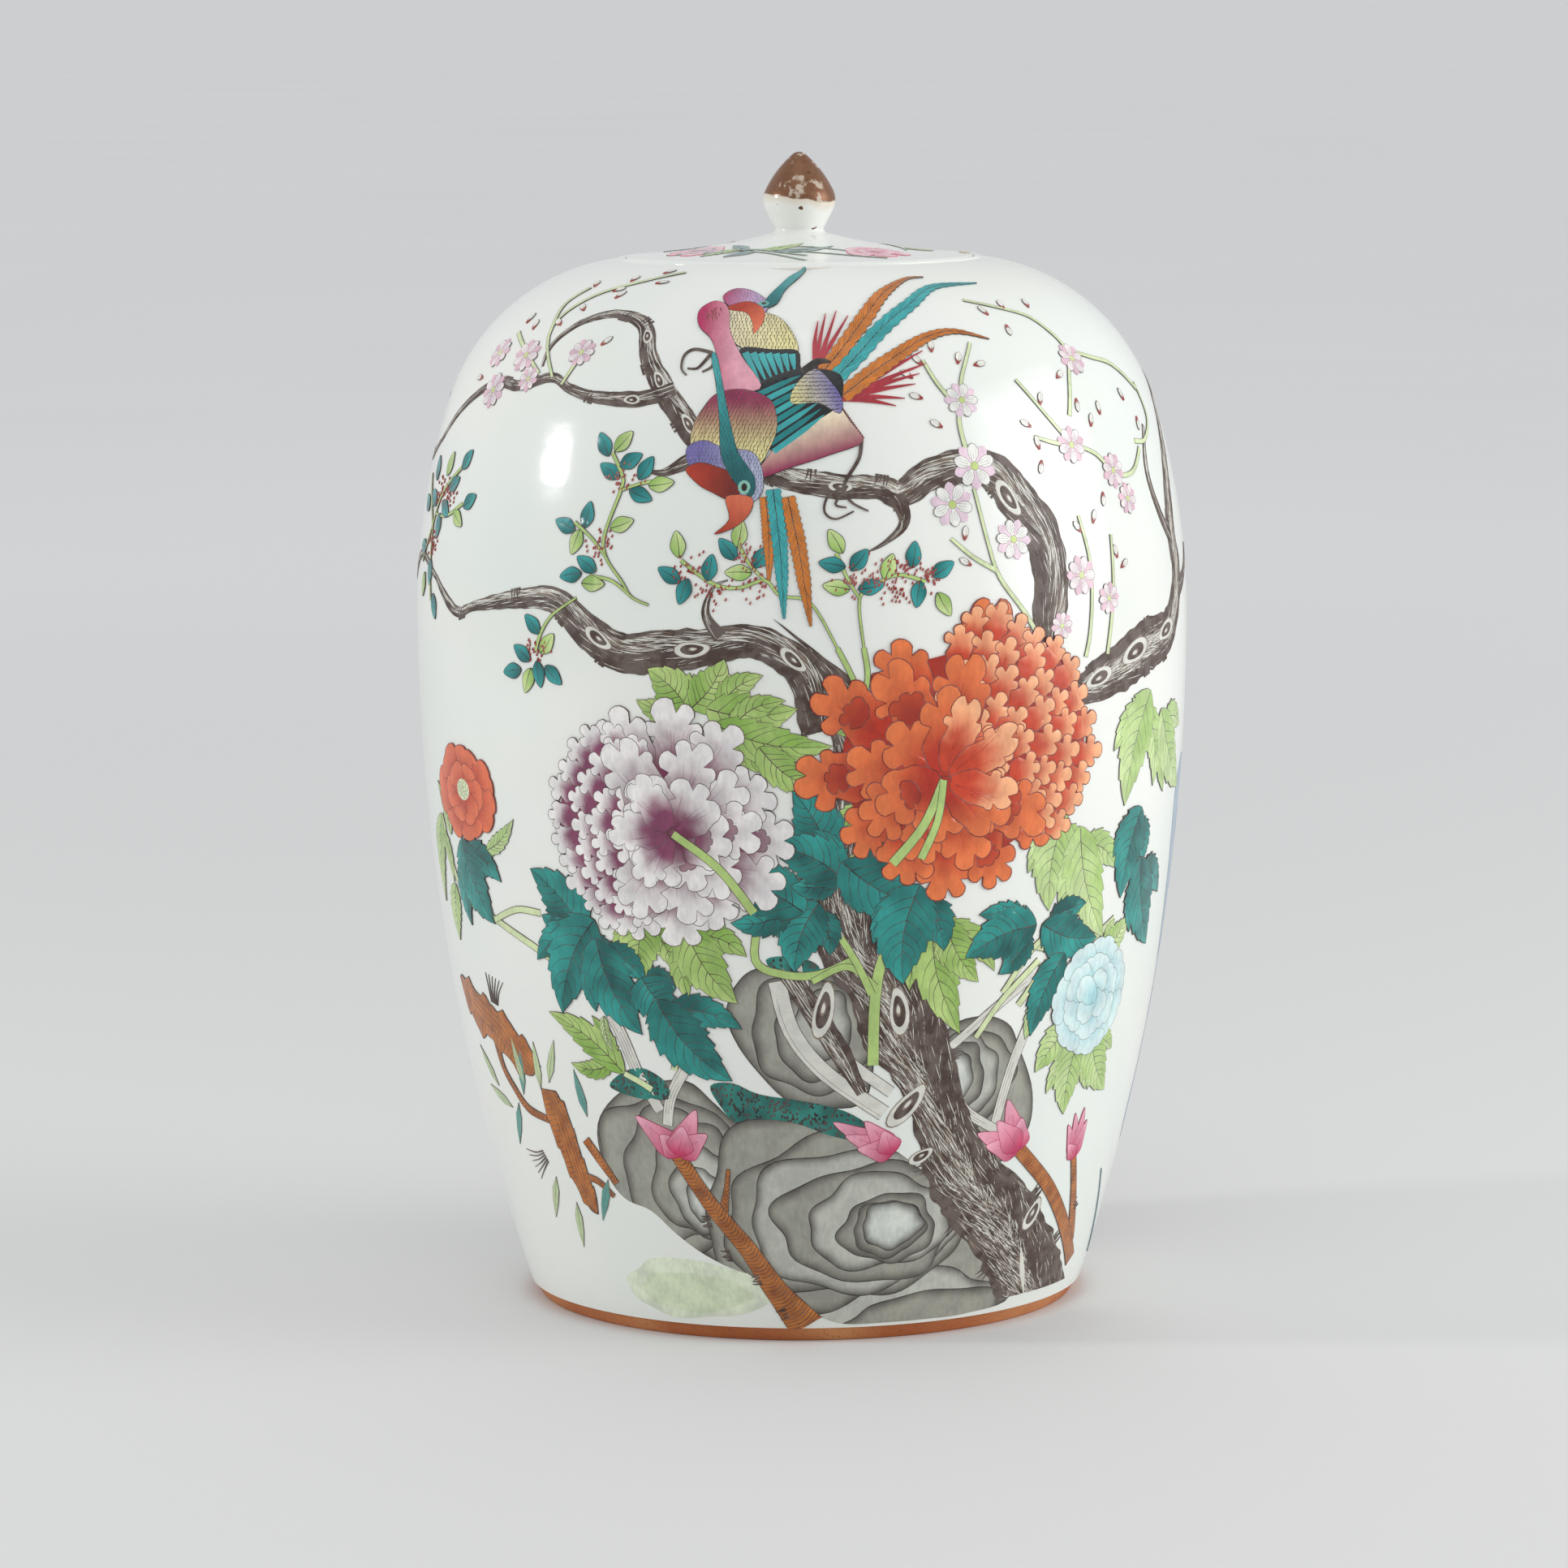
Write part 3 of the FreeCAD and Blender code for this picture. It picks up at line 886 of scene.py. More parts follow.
def edgesOf(painting, path, count=None):  # left and right edge from a path of (around, along, width)
    length = sum((Vector(a[:2]) - Vector(b[:2])).length for a, b in zip(path, path[1:]))
    count = count or max(8, round(length / 1.2))
    middle = along([place[:2] for place in path], count)
    widths = np.interp(np.linspace(0, len(path) - 1, count), range(len(path)), [place[2] for place in path])
    left = [painting.aside(middle, i, widths[i] / 2) for i in range(count)]
    right = [painting.aside(middle, i, -widths[i] / 2) for i in range(count)]
    return left, right


bark = {
    "light": srgb(226, 226, 216),
    "hair": 0.23,           # mm, width of one hatching stroke
    "reach": (3.5, 8.0),    # mm, its length
    "cover": 1.6,           # strokes laid over the bark, in times its area
}


def limb(painting, left, right, lit=(-0.25, 0.45), light=0.5, marks=(), cover=None, dark="sepia"):
    # lit is the middle and half width of the bright band, from -1 at the left edge to 1 at the right;
    # marks are (part of the length, place across): an eye between the edges, thorns at an edge
    count = len(left)
    seed = paintbox.uniform(0, 99)
    def wobble(i, side):
        return 1 + 0.13 * noise.noise(Vector((i * 0.35, side * 9, seed)))
    def at(i, fraction):
        i = min(max(i, 0), count - 1.001)
        whole, part = int(i), i - int(i)
        a, b = left[whole].lerp(left[whole + 1], part), right[whole].lerp(right[whole + 1], part)
        return a.lerp(b, (fraction + 1) / 2)
    outline = [at(i, -wobble(i, 0)) for i in range(count)] + [at(i, wobble(i, 1)) for i in range(count)][::-1]
    painting.inside(outline, dark)
    stretch = painting.surface.stretch(left[count // 2].y)
    size = abs(area(outline)) / stretch
    length = sum((at(i + 1, 0) - at(i, 0)).length for i in range(count - 1))
    strokes = int((cover or bark["cover"]) * size / (bark["hair"] * sum(bark["reach"]) / 2))
    for _ in range(strokes):
        start = paintbox.uniform(-2, count)
        fraction = paintbox.uniform(-0.96, 0.96)
        reach = paintbox.uniform(*bark["reach"]) * count / length
        drift = paintbox.uniform(-0.12, 0.12) - 0.1 * math.copysign(1, fraction)
        middle = lit[0] + 0.25 * noise.noise(Vector((start * 0.12, 4, seed)))
        bright = 1 - ease(lit[1] * 0.4, lit[1] * 1.5, abs(fraction - middle))
        bare = paintbox.random() < light * bright + 0.12
        ink = paintbox.choice(("bone", "bone", "umber")) if bare else dark
        path = [at(start, fraction), at(start + reach / 2, fraction + drift / 2),
                at(start + reach, fraction + drift)]
        painting.stroke(path, 0.06, 0.04, ink, bark["hair"] * paintbox.uniform(0.7, 1.2), steps=2)
    painting.open()
    for part, side in marks:
        place, tip = at(part * count, side), at(part * count + 1, side)
        heading = math.degrees(math.atan2((tip.x - place.x) / stretch, tip.y - place.y))
        if abs(side) < 1:
            across = (right[int(part * count)] - left[int(part * count)]).length
            eye(painting, place, heading, max(4.0, across * 0.75), max(2.4, across * 0.36))
        else:
            thorns(painting, place, heading + 90 * math.copysign(1, side) * -1, paintbox.randint(3, 6))


def eye(painting, place, heading, length, width):  # a scar in the bark
    spot = Spot(painting.surface, place[0], place[1], heading)
    def almond(size, shift=0.0):
        ring = []
        for i in range(18):
            turn = 2 * math.pi * i / 18
            narrow = 0.55 + 0.45 * abs(math.sin(turn / 2 + 0.4)) ** 0.8
            ring.append((width / 2 * size * math.sin(turn) * narrow,
                         length / 2 * size * math.cos(turn) + shift))
        return spot.shape(ring)
    painting.lay(almond(1.3), "umber")
    painting.lay(almond(1.22), "bone")
    painting.lay(almond(0.82), "sepia")
    painting.lay(almond(0.34, length * 0.03), "umber")
    painting.lay(almond(0.22, length * 0.04), "bone")


def thorns(painting, place, heading, count, reach=3.0, spread=3.5):
    spot = Spot(painting.surface, place[0], place[1], heading)
    for number in range(count):
        side = spread * ((number + 0.5) / count - 0.5) + paintbox.uniform(-0.3, 0.3)
        tall = reach * paintbox.uniform(0.55, 1.1)
        lean = paintbox.uniform(-0.5, 0.9)
        path = [spot.put(side, -0.5), spot.put(side + lean * 0.3, tall * 0.5), spot.put(side + lean, tall)]
        painting.stroke(path, 0.75, 0.05, "sepia", steps=3)


def tube(painting, path, width, fill, ink="sepia", end=None, line=0.17, lines=0):
    end = width if end is None else end
    painting.stroke(path, width + 2 * line, end + 2 * line, ink, steps=5)
    painting.stroke(path, width, end, fill, steps=5)
    for number in range(lines):
        shift = width * ((number + 1) / (lines + 1) - 0.5)
        middle = along(path, 12)
        first, last = sorted((paintbox.randint(0, 6), paintbox.randint(5, 11)))
        inner = [painting.aside(middle, i, shift) for i in range(first, last + 1)]
        if len(inner) > 2:
            painting.stroke(inner, 0.1, 0.1, ink, steps=1)


rock = {
    "dark": srgb(84, 80, 72),
    "grey": srgb(158, 158, 147),
    "light": srgb(190, 192, 182),
    "bright": srgb(214, 219, 212),
    "fade": 3.4,        # mm from a drawn contour to plain grey
    "line": 0.3,
}


def contour(painting, points, tone):
    rim = []
    for a, b in zip(points, points[1:] + points[:1]):
        pieces = max(1, math.ceil((b - a).length / 0.8))
        rim += [a.lerp(b, i / pieces) for i in range(pieces)]
    tree = kdtree.KDTree(len(rim))
    for i, place in enumerate(rim):
        tree.insert((place.x, place.y, 0), i)
    tree.balance()
    def tint(point):
        distance = tree.find((point.x, point.y, 0))[2]
        cloud = 0.25 * noise.noise(Vector((point.x * 0.13, point.y * 0.13, 7)))
        return blendColour(rock["dark"], tone, ease(-0.15, 1.0, distance / rock["fade"] + cloud))
    painting.lay(points, "ink")
    painting.lay(inset(points, rock["line"]), tint)


def wobbly(surface, centre, radii, seed, rough=0.09, turn=0.0):
    spot = Spot(surface, centre[0], centre[1], turn)
    ring = []
    for i in range(54):
        angle = 2 * math.pi * i / 54
        swell = 1 + rough * (math.sin(3 * angle + seed) + 0.8 * math.sin(5 * angle + seed * 2.3)
                             + 0.6 * math.sin(8 * angle + seed * 1.7))
        ring.append((radii[0] * swell * math.cos(angle), radii[1] * swell * math.sin(angle)))
    return smooth(spot.shape(ring), True, 2)


def boulder(painting, outline, cells):
    painting.inside(smooth(outline, True, 5), "ink")
    contour(painting, smooth(outline, True, 5), rock["grey"])
    for centre, radii, seed, tone in cells:
        contour(painting, wobbly(painting.surface, centre, radii, seed, 0.055), rock[tone])
    painting.open()


ground = Painting("rock", jar, 0, grid=1.6)
boulder(ground, [(-23, 97), (-19, 106), (-12, 110), (2, 110), (14, 104), (20, 88), (18, 72), (6, 70),
                 (-5, 72), (-13, 79), (-20, 88)],
        [((4, 92), (19, 17), 1.0, "grey"), ((6, 92), (14, 14), 2.1, "grey"),
         ((5, 94), (8, 10), 4.2, "light")])
boulder(ground, [(42, 90), (53, 94), (63, 91), (68, 84), (76, 70), (76, 58), (64, 50), (50, 60), (42, 72)],
        [((50, 76), (15, 15), 0.6, "grey"), ((49, 77), (11, 12.5), 2.6, "light"),
         ((48, 77), (7.5, 10), 3.9, "grey"), ((47, 77), (4.6, 8), 1.3, "bright")])
boulder(ground, [(-70, 62), (-60, 72), (-48, 76), (-36, 77), (-28, 71), (-21, 66), (-10, 70), (6, 68),
                 (18, 63), (30, 56), (44, 46), (58, 34), (70, 22), (84, 8), (64, 5.2), (45, 5), (29, 5),
                 (14, 5.2), (4, 8), (-8, 14), (-20, 20), (-29, 23), (-38, 27), (-46, 32), (-54, 38),
                 (-64, 41), (-70, 49)],
        [((-44, 50), (23, 23), 0.4, "grey"), ((-42, 49), (17, 20), 2.2, "grey"),
         ((-36, 48), (13, 17), 3.7, "grey"),
         ((-34, 45), (9, 13), 5.1, "light"), ((-34, 44), (5, 8), 1.9, "bright"),
         ((38, 8), (30, 13), 2.9, "light"), ((48, 3), (26, 11), 4.4, "grey"),
         ((6, 40), (34, 29), 1.2, "grey"), ((14, 38), (34, 25), 3.1, "grey"),
         ((18, 37), (31, 21.5), 0.8, "light"),
         ((22, 36), (26, 18), 5.6, "grey"), ((25, 36), (20, 14.5), 2.4, "light"),
         ((28, 34), (13.5, 10.5), 4.0, "grey"),
         ((28, 34), (10.2, 8.6), 1.1, "grey"), ((29, 35), (8.6, 7.2), 1.1, "bright")])
ground.fire("jar")

wash = Painting("green_wash", jar, 0, grid=2.4)
wash.lay(wobbly(jar, (-42, 15), (21, 9), 2.0, 0.04), srgb(222, 231, 208))
wash.lay(wobbly(jar, (-42, 14), (16, 6), 1.0, 0.04), srgb(213, 225, 194))
wash.fire("jar")


def mossTint(point):
    cloud = noise.noise(Vector((point.x * 0.2, point.y * 0.2, 1)))
    return blendColour(srgb(8, 84, 78), srgb(42, 142, 130), 0.5 + cloud)


moss = Painting("moss", jar, 1, grid=1.4)
for bed in ([(-63, 74), (-58, 78), (-51, 80), (-44, 77), (-42, 72), (-50, 71), (-58, 72)],
            [(-29, 76), (-22, 77), (-14, 74), (0, 72), (12, 69), (20, 64), (19, 60), (8, 62), (-4, 66),
             (-16, 67), (-22, 66), (-26, 70)],
            [(-11, 112), (-4, 113), (3, 111), (4, 107), (-6, 107)]):
    bedLine = smooth(bed, True, 4)
    moss.inside(bedLine, mossTint)
    lowX, highX = min(p.x for p in bedLine), max(p.x for p in bedLine)
    lowY, highY = min(p.y for p in bedLine), max(p.y for p in bedLine)
    for _ in range(int((highX - lowX) * (highY - lowY) * 0.55)):
        dot = Spot(jar, paintbox.uniform(lowX, highX), paintbox.uniform(lowY, highY),
                   paintbox.uniform(-50, 50))
        moss.lay(dot.shape([(-0.25, -0.5), (0.25, -0.5), (0.32, 0.1), (0, 0.6), (-0.32, 0.1)]), "ink")
    moss.open()
moss.fire("jar")
print("rock ready")

trunk = Painting("old_trunk", jar, 1, grid=2.4)
for path, width in (
        ([(-61, 98), (-56, 88), (-52, 78), (-46, 68)], 3.4), ([(-37, 80), (-42, 72), (-44, 64)], 3.0),
        ([(-8, 106), (-4, 92), (6, 80), (24, 68)], 4.6), ([(-2, 112), (2, 96), (12, 84), (26, 74)], 3.2),
        ([(71, 104), (58, 96), (44, 86)], 2.6), ([(73, 96), (66, 78), (62, 60)], 3.2),
        ([(43, 80), (50, 68), (64, 60)], 2.8), ([(95, 110), (82, 104), (71, 98)], 2.0)):
    tube(trunk, path, width, "bone", "sepia", width * 0.9, 0.16, 3)
limb(trunk, along([(1, 196), (4, 184), (8, 168), (7, 150), (3, 130), (5, 112), (13, 100), (17, 88),
                   (26, 78), (33, 66),
                  (38, 52), (43, 42), (54, 31), (66, 20), (78, 8)], 150),
     along([(-8, 204), (10, 190), (19, 176), (22, 160), (24, 140), (28, 122), (34, 108), (41, 96), (45, 84),
            (48, 74), (54, 64), (66, 52), (78, 44), (98, 28), (122, 8)], 150),
     (-0.3, 0.45), 0.5, [(0.55, 1), (0.72, -1), (0.83, -1), (0.93, -1), (0.9, 1), (0.8, 1)], 1.9)
limb(trunk, *edgesOf(trunk, [(-6, 110, 5), (2, 98, 6), (10, 86, 6), (17, 74, 3)]), (0.3, 0.5), 0.7)
for path, lit, light, marks in (
        ([(-130, 209, 1.6), (-115, 201, 3.4), (-105, 203, 2.4), (-88, 206, 4.2), (-72, 207, 5.5),
          (-60, 199, 8), (-50, 194, 10), (-38, 195, 11), (-27, 196, 11), (-15, 198, 9), (-6, 195, 9),
          (1, 188, 10), (5, 174, 12)],
         (-0.5, 0.35), 0.85, [(0.13, 1), (0.42, 1), (0.52, 1), (0.62, 1), (0.5, -0.1), (0.68, 0.0),
                              (0.86, -0.1), (0.3, -1)]),
        ([(-22, 199, 4), (-26, 205, 2.6), (-24, 212, 1.2), (-20, 214, 0.4)], (0, 0.4), 0.5, []),
        ([(-27, 248, 7), (-40, 262, 6.5), (-50, 274, 6), (-57, 285, 5), (-71, 289, 4.2), (-84, 286, 3.4),
          (-91, 280, 3), (-93, 275, 2), (-92, 270, 1)], (0.45, 0.4), 0.85,
         [(0.1, 0.1), (0.27, 0.0), (0.44, 0.0), (0.12, -1), (0.33, -1), (0.5, 1), (0.6, -1)]),
        ([(-39, 265, 4), (-49, 262, 4.6), (-65, 262, 3.2), (-76, 264, 2.6), (-85, 267, 3.4), (-99, 264, 3),
          (-114, 264, 2.4), (-132, 256, 2), (-147, 246, 1.6)], (0.2, 0.4), 0.75,
          [(0.12, -0.1), (0.25, -1), (0.6, 1)]),
        ([(-27, 248, 6), (-33, 245, 4), (-40, 242, 2), (-46, 243, 0.5)], (0.2, 0.4), 0.5, []),
        ([(-24, 249, 5), (-8, 242, 5), (7, 239, 6), (22, 238, 7), (27, 236, 6), (36, 241, 8), (46, 243, 9),
          (56, 241, 10), (63, 233, 12), (70, 223, 13), (72, 212, 12), (71, 202, 12),
          (70, 192, 9)], (-0.4, 0.4), 0.85,
         [(0.12, 1), (0.2, -1), (0.26, 0.0), (0.34, -1), (0.38, 1), (0.62, 1), (0.66, 0.3), (0.55, -1)]),
        ([(26, 236, 5), (28, 229, 3), (23, 224, 1.4), (17, 221, 0.4)], (0, 0.4), 0.4, []),
        ([(158, 256, 3), (148, 243, 5), (141, 232, 7), (137, 219, 8), (139, 208, 9), (130, 194, 12),
          (112, 190, 15), (96, 185, 15), (82, 181, 12), (76, 181, 6)], (0.0, 0.5), 0.85,
         [(0.3, 1), (0.45, -1), (0.58, 0.1), (0.68, 1), (0.74, 0.1), (0.88, 0.1), (0.7, -1), (0.9, 1),
          (0.6, -1)]),
        ([(130, 250, 1.4), (124, 238, 2.4), (128, 226, 3), (136, 218, 4)], (0, 0.4), 0.7, []),
        ([(160, 214, 2), (152, 208, 3), (142, 204, 5)], (0, 0.4), 0.7, [])):
    limb(trunk, *edgesOf(trunk, path), lit, light, marks)
for place, heading, length, width in (
        ((5, 98), 10, 13, 5), ((27, 97), -8, 11, 5), ((31, 70), 40, 12, 5), ((37, 55), 60, 6, 3.2),
        ((86, 33), 25, 8, 4.4)):
    eye(trunk, place, heading, length, width)
trunk.stroke([(86, 26), (92, 18), (100, 9)], 0.6, 0.3, "sepia", 3.4)
trunk.stroke([(84, 23), (88, 15), (92, 8)], 0.4, 0.2, "bone", 2.0)
trunk.fire("jar")
print("bark ready")


# leaves and stems of the big flowers

stalkGreen, stalkPale = srgb(176, 204, 122), srgb(212, 226, 176)
stems = Painting("green_stems", jar, 2)
for path, width, fill in (
        ([(-133, 143), (-123, 123), (-103, 117), (-83, 110), (-67, 102), (-57, 94)], 1.7, stalkPale),
        ([(-103, 117), (-92, 121), (-82, 121)], 1.5, stalkPale),
        ([(-119, 136), (-112, 126), (-104, 117)], 1.3, stalkPale),
        ([(-36, 96), (-38, 88), (-40, 80)], 1.5, stalkPale),
        ([(-57, 78), (-52, 76), (-48, 74)], 1.5, stalkPale),
        ([(-12, 126), (-14, 112), (-6, 108), (4, 108), (14, 112)], 1.9, stalkGreen),
        ([(28, 120), (22, 112), (20, 100), (20, 82)], 2.6, stalkGreen),
        ([(2, 106), (12, 110), (20, 104)], 1.6, stalkGreen),
        ([(10, 118), (15, 110), (19, 102)], 1.7, stalkGreen),
        ([(15, 130), (22, 134), (29, 140)], 1.6, stalkGreen),
        ([(66, 96), (76, 106), (90, 110), (104, 116)], 1.8, stalkPale),
        ([(70, 112), (80, 110), (90, 110)], 1.5, stalkPale),
        ([(60, 100), (70, 112), (82, 118)], 1.5, stalkPale),
        ([(52, 88), (60, 98), (72, 108)], 1.5, stalkPale),
        ([(9, 196), (13, 188), (16, 180)], 1.2, stalkGreen),
        ([(16, 196), (17, 188), (15, 181)], 1.2, stalkGreen)):
    tube(stems, path, width, fill, "sepia", width * 1.15)
stems.fire("jar")

frontStalks = Painting("stalks_over_peonies", jar, 6)
for flower, way, width in ((redPeony, (-14, -22), 2.2), (redPeony, (-6, -21), 1.8),
                           (purplePeony, (22, -21), 2.0)):
    heart, way = Vector(flower["heart"]), Vector(way)
    path = [heart, heart + way * 0.5 + Vector((-way.y, way.x)) * 0.07, heart + way]
    tube(frontStalks, path, width, stalkGreen, "sepia", width * 1.15)
frontStalks.fire("jar")

leafPainting("green_leaves_left", 3, green, (
        ((-30, 178), (-42, 190), 12, (0.8, 0)), ((-30, 180), (-21, 193), 11, (0, 0.7)),
        ((-26, 180), (-2, 180), 12, (0.6, 0.5)), ((-24, 176), (7, 170), 11, (0.5, 0.5)),
        ((-45, 124), (-48, 104), 12, (0.7, 0.7)), ((-34, 122), (-20, 100), 13, (0.6, 0.7)),
        ((-12, 170), (4, 158), 9, (0, 0))))
leafPainting("green_leaves_middle", 3, green, (
        ((26, 150), (4, 148), 9, (0.7, 0.6)), ((28, 146), (12, 137), 9, (0.6, 0.6)),
        ((37, 156), (33, 138), 6, (0, 0)), ((36, 126), (46, 90), 13, (0.6, 0.5)),
        ((40, 122), (51, 104), 10, (0, 0.5)), ((26, 172), (6, 174), 7, (0, 0))))
leafPainting("pale_leaves_right", 3, palegreen, (
        ((78, 148), (74, 122), 14, (0.6, 0.6)), ((84, 144), (98, 112), 15, (0.5, 0.6)),
        ((116, 178), (104, 148), 16, (0.7, 0.6)), ((124, 172), (146, 148), 14, (0.5, 0.6)),
        ((90, 88), (76, 76), 11, (0.5, 0.5)), ((94, 84), (92, 62), 12, (0.7, 0.7)),
        ((100, 84), (114, 66), 12, (0.5, 0.6)), ((100, 108), (112, 116), 8, (0.5, 0.5)),
        ((76, 98), (70, 86), 6, (0, 0))))
leavesEdge = Painting("small_leaves_left", jar, 3)
for base, tip, width, sides in (
        ((-57, 78), (-83, 93), 9, (0.5, 0.5)), ((-104, 136), (-90, 146), 5, (0, 0)),
        ((-126, 138), (-134, 152), 5, (0, 0)), ((-133, 143), (-140, 118), 8, (0.6, 0.4)),
        ((-127, 124), (-130, 108), 8, (0, 0)), ((-62, 94), (-60, 84), 3, (0, 0))):
    leafGroup(leavesEdge, base, tip, width, palegreen if base[0] < -60 else green, sides)
leavesEdge.fire("jar")

leafPainting("teal_leaves_left", 4, teal, (
        ((-66, 117), (-84, 133), 14, (0.5, 0.5)), ((-62, 121), (-77, 94), 17, (0.5, 0.7)),
        ((-62, 116), (-50, 90), 15, (0.5, 0.6)), ((-48, 106), (-38, 96), 14, (0.6, 0.6)),
        ((-44, 100), (-23, 78), 15, (0.7, 0.4))))
leafPainting("teal_leaves_middle", 4, teal, (
        ((6, 140), (-3, 158), 13, (0.5, 0.6)), ((4, 128), (-3, 109), 13, (0.6, 0.6)),
        ((0, 125), (-26, 135), 14, (0.6, 0.5)), ((12, 133), (-10, 144), 13, (0.5, 0.6)),
        ((10, 139), (34, 126), 15, (0.5, 0.5)), ((32, 132), (28, 105), 17, (0.6, 0.6))))
leafPainting("teal_leaves_right", 4, teal, (
        ((70, 118), (47, 111), 14, (0.6, 0.7)), ((72, 118), (95, 112), 13, (0.6, 0.5)),
        ((82, 109), (72, 87), 11, (0, 0.4)), ((114, 146), (106, 122), 15, (0.5, 0.6)),
        ((116, 132), (128, 106), 16, (0.6, 0.6))))
print("leaves ready")


# smaller flowers, blossom and berries

redFlower = {"base": srgb(186, 58, 28), "tip": srgb(228, 112, 72), "from": 0.1, "to": 0.9, "ink": "wine",
             "line": 0.22, "hairs": 2, "hair": srgb(176, 50, 22)}
blueFlower = {"base": srgb(166, 214, 220), "tip": srgb(214, 234, 234), "from": 0.2, "to": 0.9,
              "ink": "grey", "line": 0.14, "hairs": 0, "hair": srgb(150, 200, 208)}


def roundFlower(painting, centre, radii, look, rings):  # rings: count, reach, width, lobes, turn
    stretch = painting.surface.stretch(centre[1])
    for count, reach, width, lobes, turn in rings:
        for i in range(count):
            angle = 2 * math.pi * (i / count) + turn
            way = Vector((math.sin(angle) * radii[0] * stretch, math.cos(angle) * radii[1]))
            base, tip = Vector(centre) + way * (reach - 0.62), Vector(centre) + way * reach
            petal(painting, base, tip, width, lobes, look, 0.16)


tealRed = Painting("teal_leaf_red_flower", jar, 4)
leafGroup(tealRed, (-118, 138), (-104, 116), 15, teal, (0.7, 0.8))
tealRed.fire("jar")
single = Painting("red_single_flower", jar, 5)
roundFlower(single, (-114, 151), (17.5, 13), redFlower, ((7, 1.0, 14, 2, 0.2), (6, 0.66, 10, 2, 0.5)))
heartSpot = Spot(jar, -114, 152, 0)
single.lay(heartSpot.shape([(3.6 * math.cos(t * 0.4), 3.0 * math.sin(t * 0.4)) for t in range(16)]),
           srgb(222, 226, 190))
for number in range(26):
    angle, reach = number * 2.4, 0.62 * number ** 0.5
    dot = heartSpot.put(reach * math.cos(angle), reach * math.sin(angle) * 0.85)
    single.stroke([dot, dot + Vector((0.3, 0.7))], 0.35, 0.15, srgb(86, 140, 70))
single.fire("jar")

blue = Painting("pale_blue_flower", jar, 5)
roundFlower(blue, (97, 95), (17, 17), blueFlower,
            ((7, 1.0, 15, 3, 0.3), (6, 0.74, 12, 3, 0.1), (4, 0.5, 8, 2, 0.6)))
blue.fire("jar")


def blossom(painting, place, size, turn, look):
    spot = Spot(painting.surface, place[0], place[1], turn, size)
    for ring, colour, shift, reach in ((0, look[1], 36, 5.6), (1, look[0], 0, 5.4)):
        for number in range(5):
            inner = Spot(painting.surface, place[0], place[1], turn + shift + 72 * number, size)
            outline = [(0, 0.6), (-1.2, 2.2), (-1.5, 3.8), (-0.9, 5.0), (0, reach), (0.9, 5.0), (1.5, 3.8),
                       (1.2, 2.2)]
            painting.drawn(inner.shape(outline), colour, "grey" if ring else look[1], 0.13)
            for side in (-0.5, 0.0, 0.5):
                if ring:
                    painting.stroke([inner.put(side, 1.6), inner.put(side * 1.6, 3.9)], 0.11, 0.05, "grey")
    painting.drawn(spot.shape([(1.1 * math.cos(t * 0.7), 1.1 * math.sin(t * 0.7)) for t in range(9)]),
                   look[2], "grey", 0.1)


def bud(painting, place, heading, size=1.0):
    spot = Spot(painting.surface, place[0], place[1], heading, size)
    painting.drawn(spot.shape([(0, 0), (-0.9, 1.2), (-0.8, 2.6), (0, 3.4), (0.8, 2.6), (0.9, 1.2)]),
                   srgb(236, 234, 226), "grey", 0.13)
    painting.stroke([spot.put(0.2, 0.6), spot.put(0.1, 2.6)], 0.1, 0.05, "grey")
    for side in (-0.8, 0.0, 0.8):
        painting.stroke([spot.put(0, -0.5), spot.put(side, 0.9)], 0.5, 0.1, "berry")


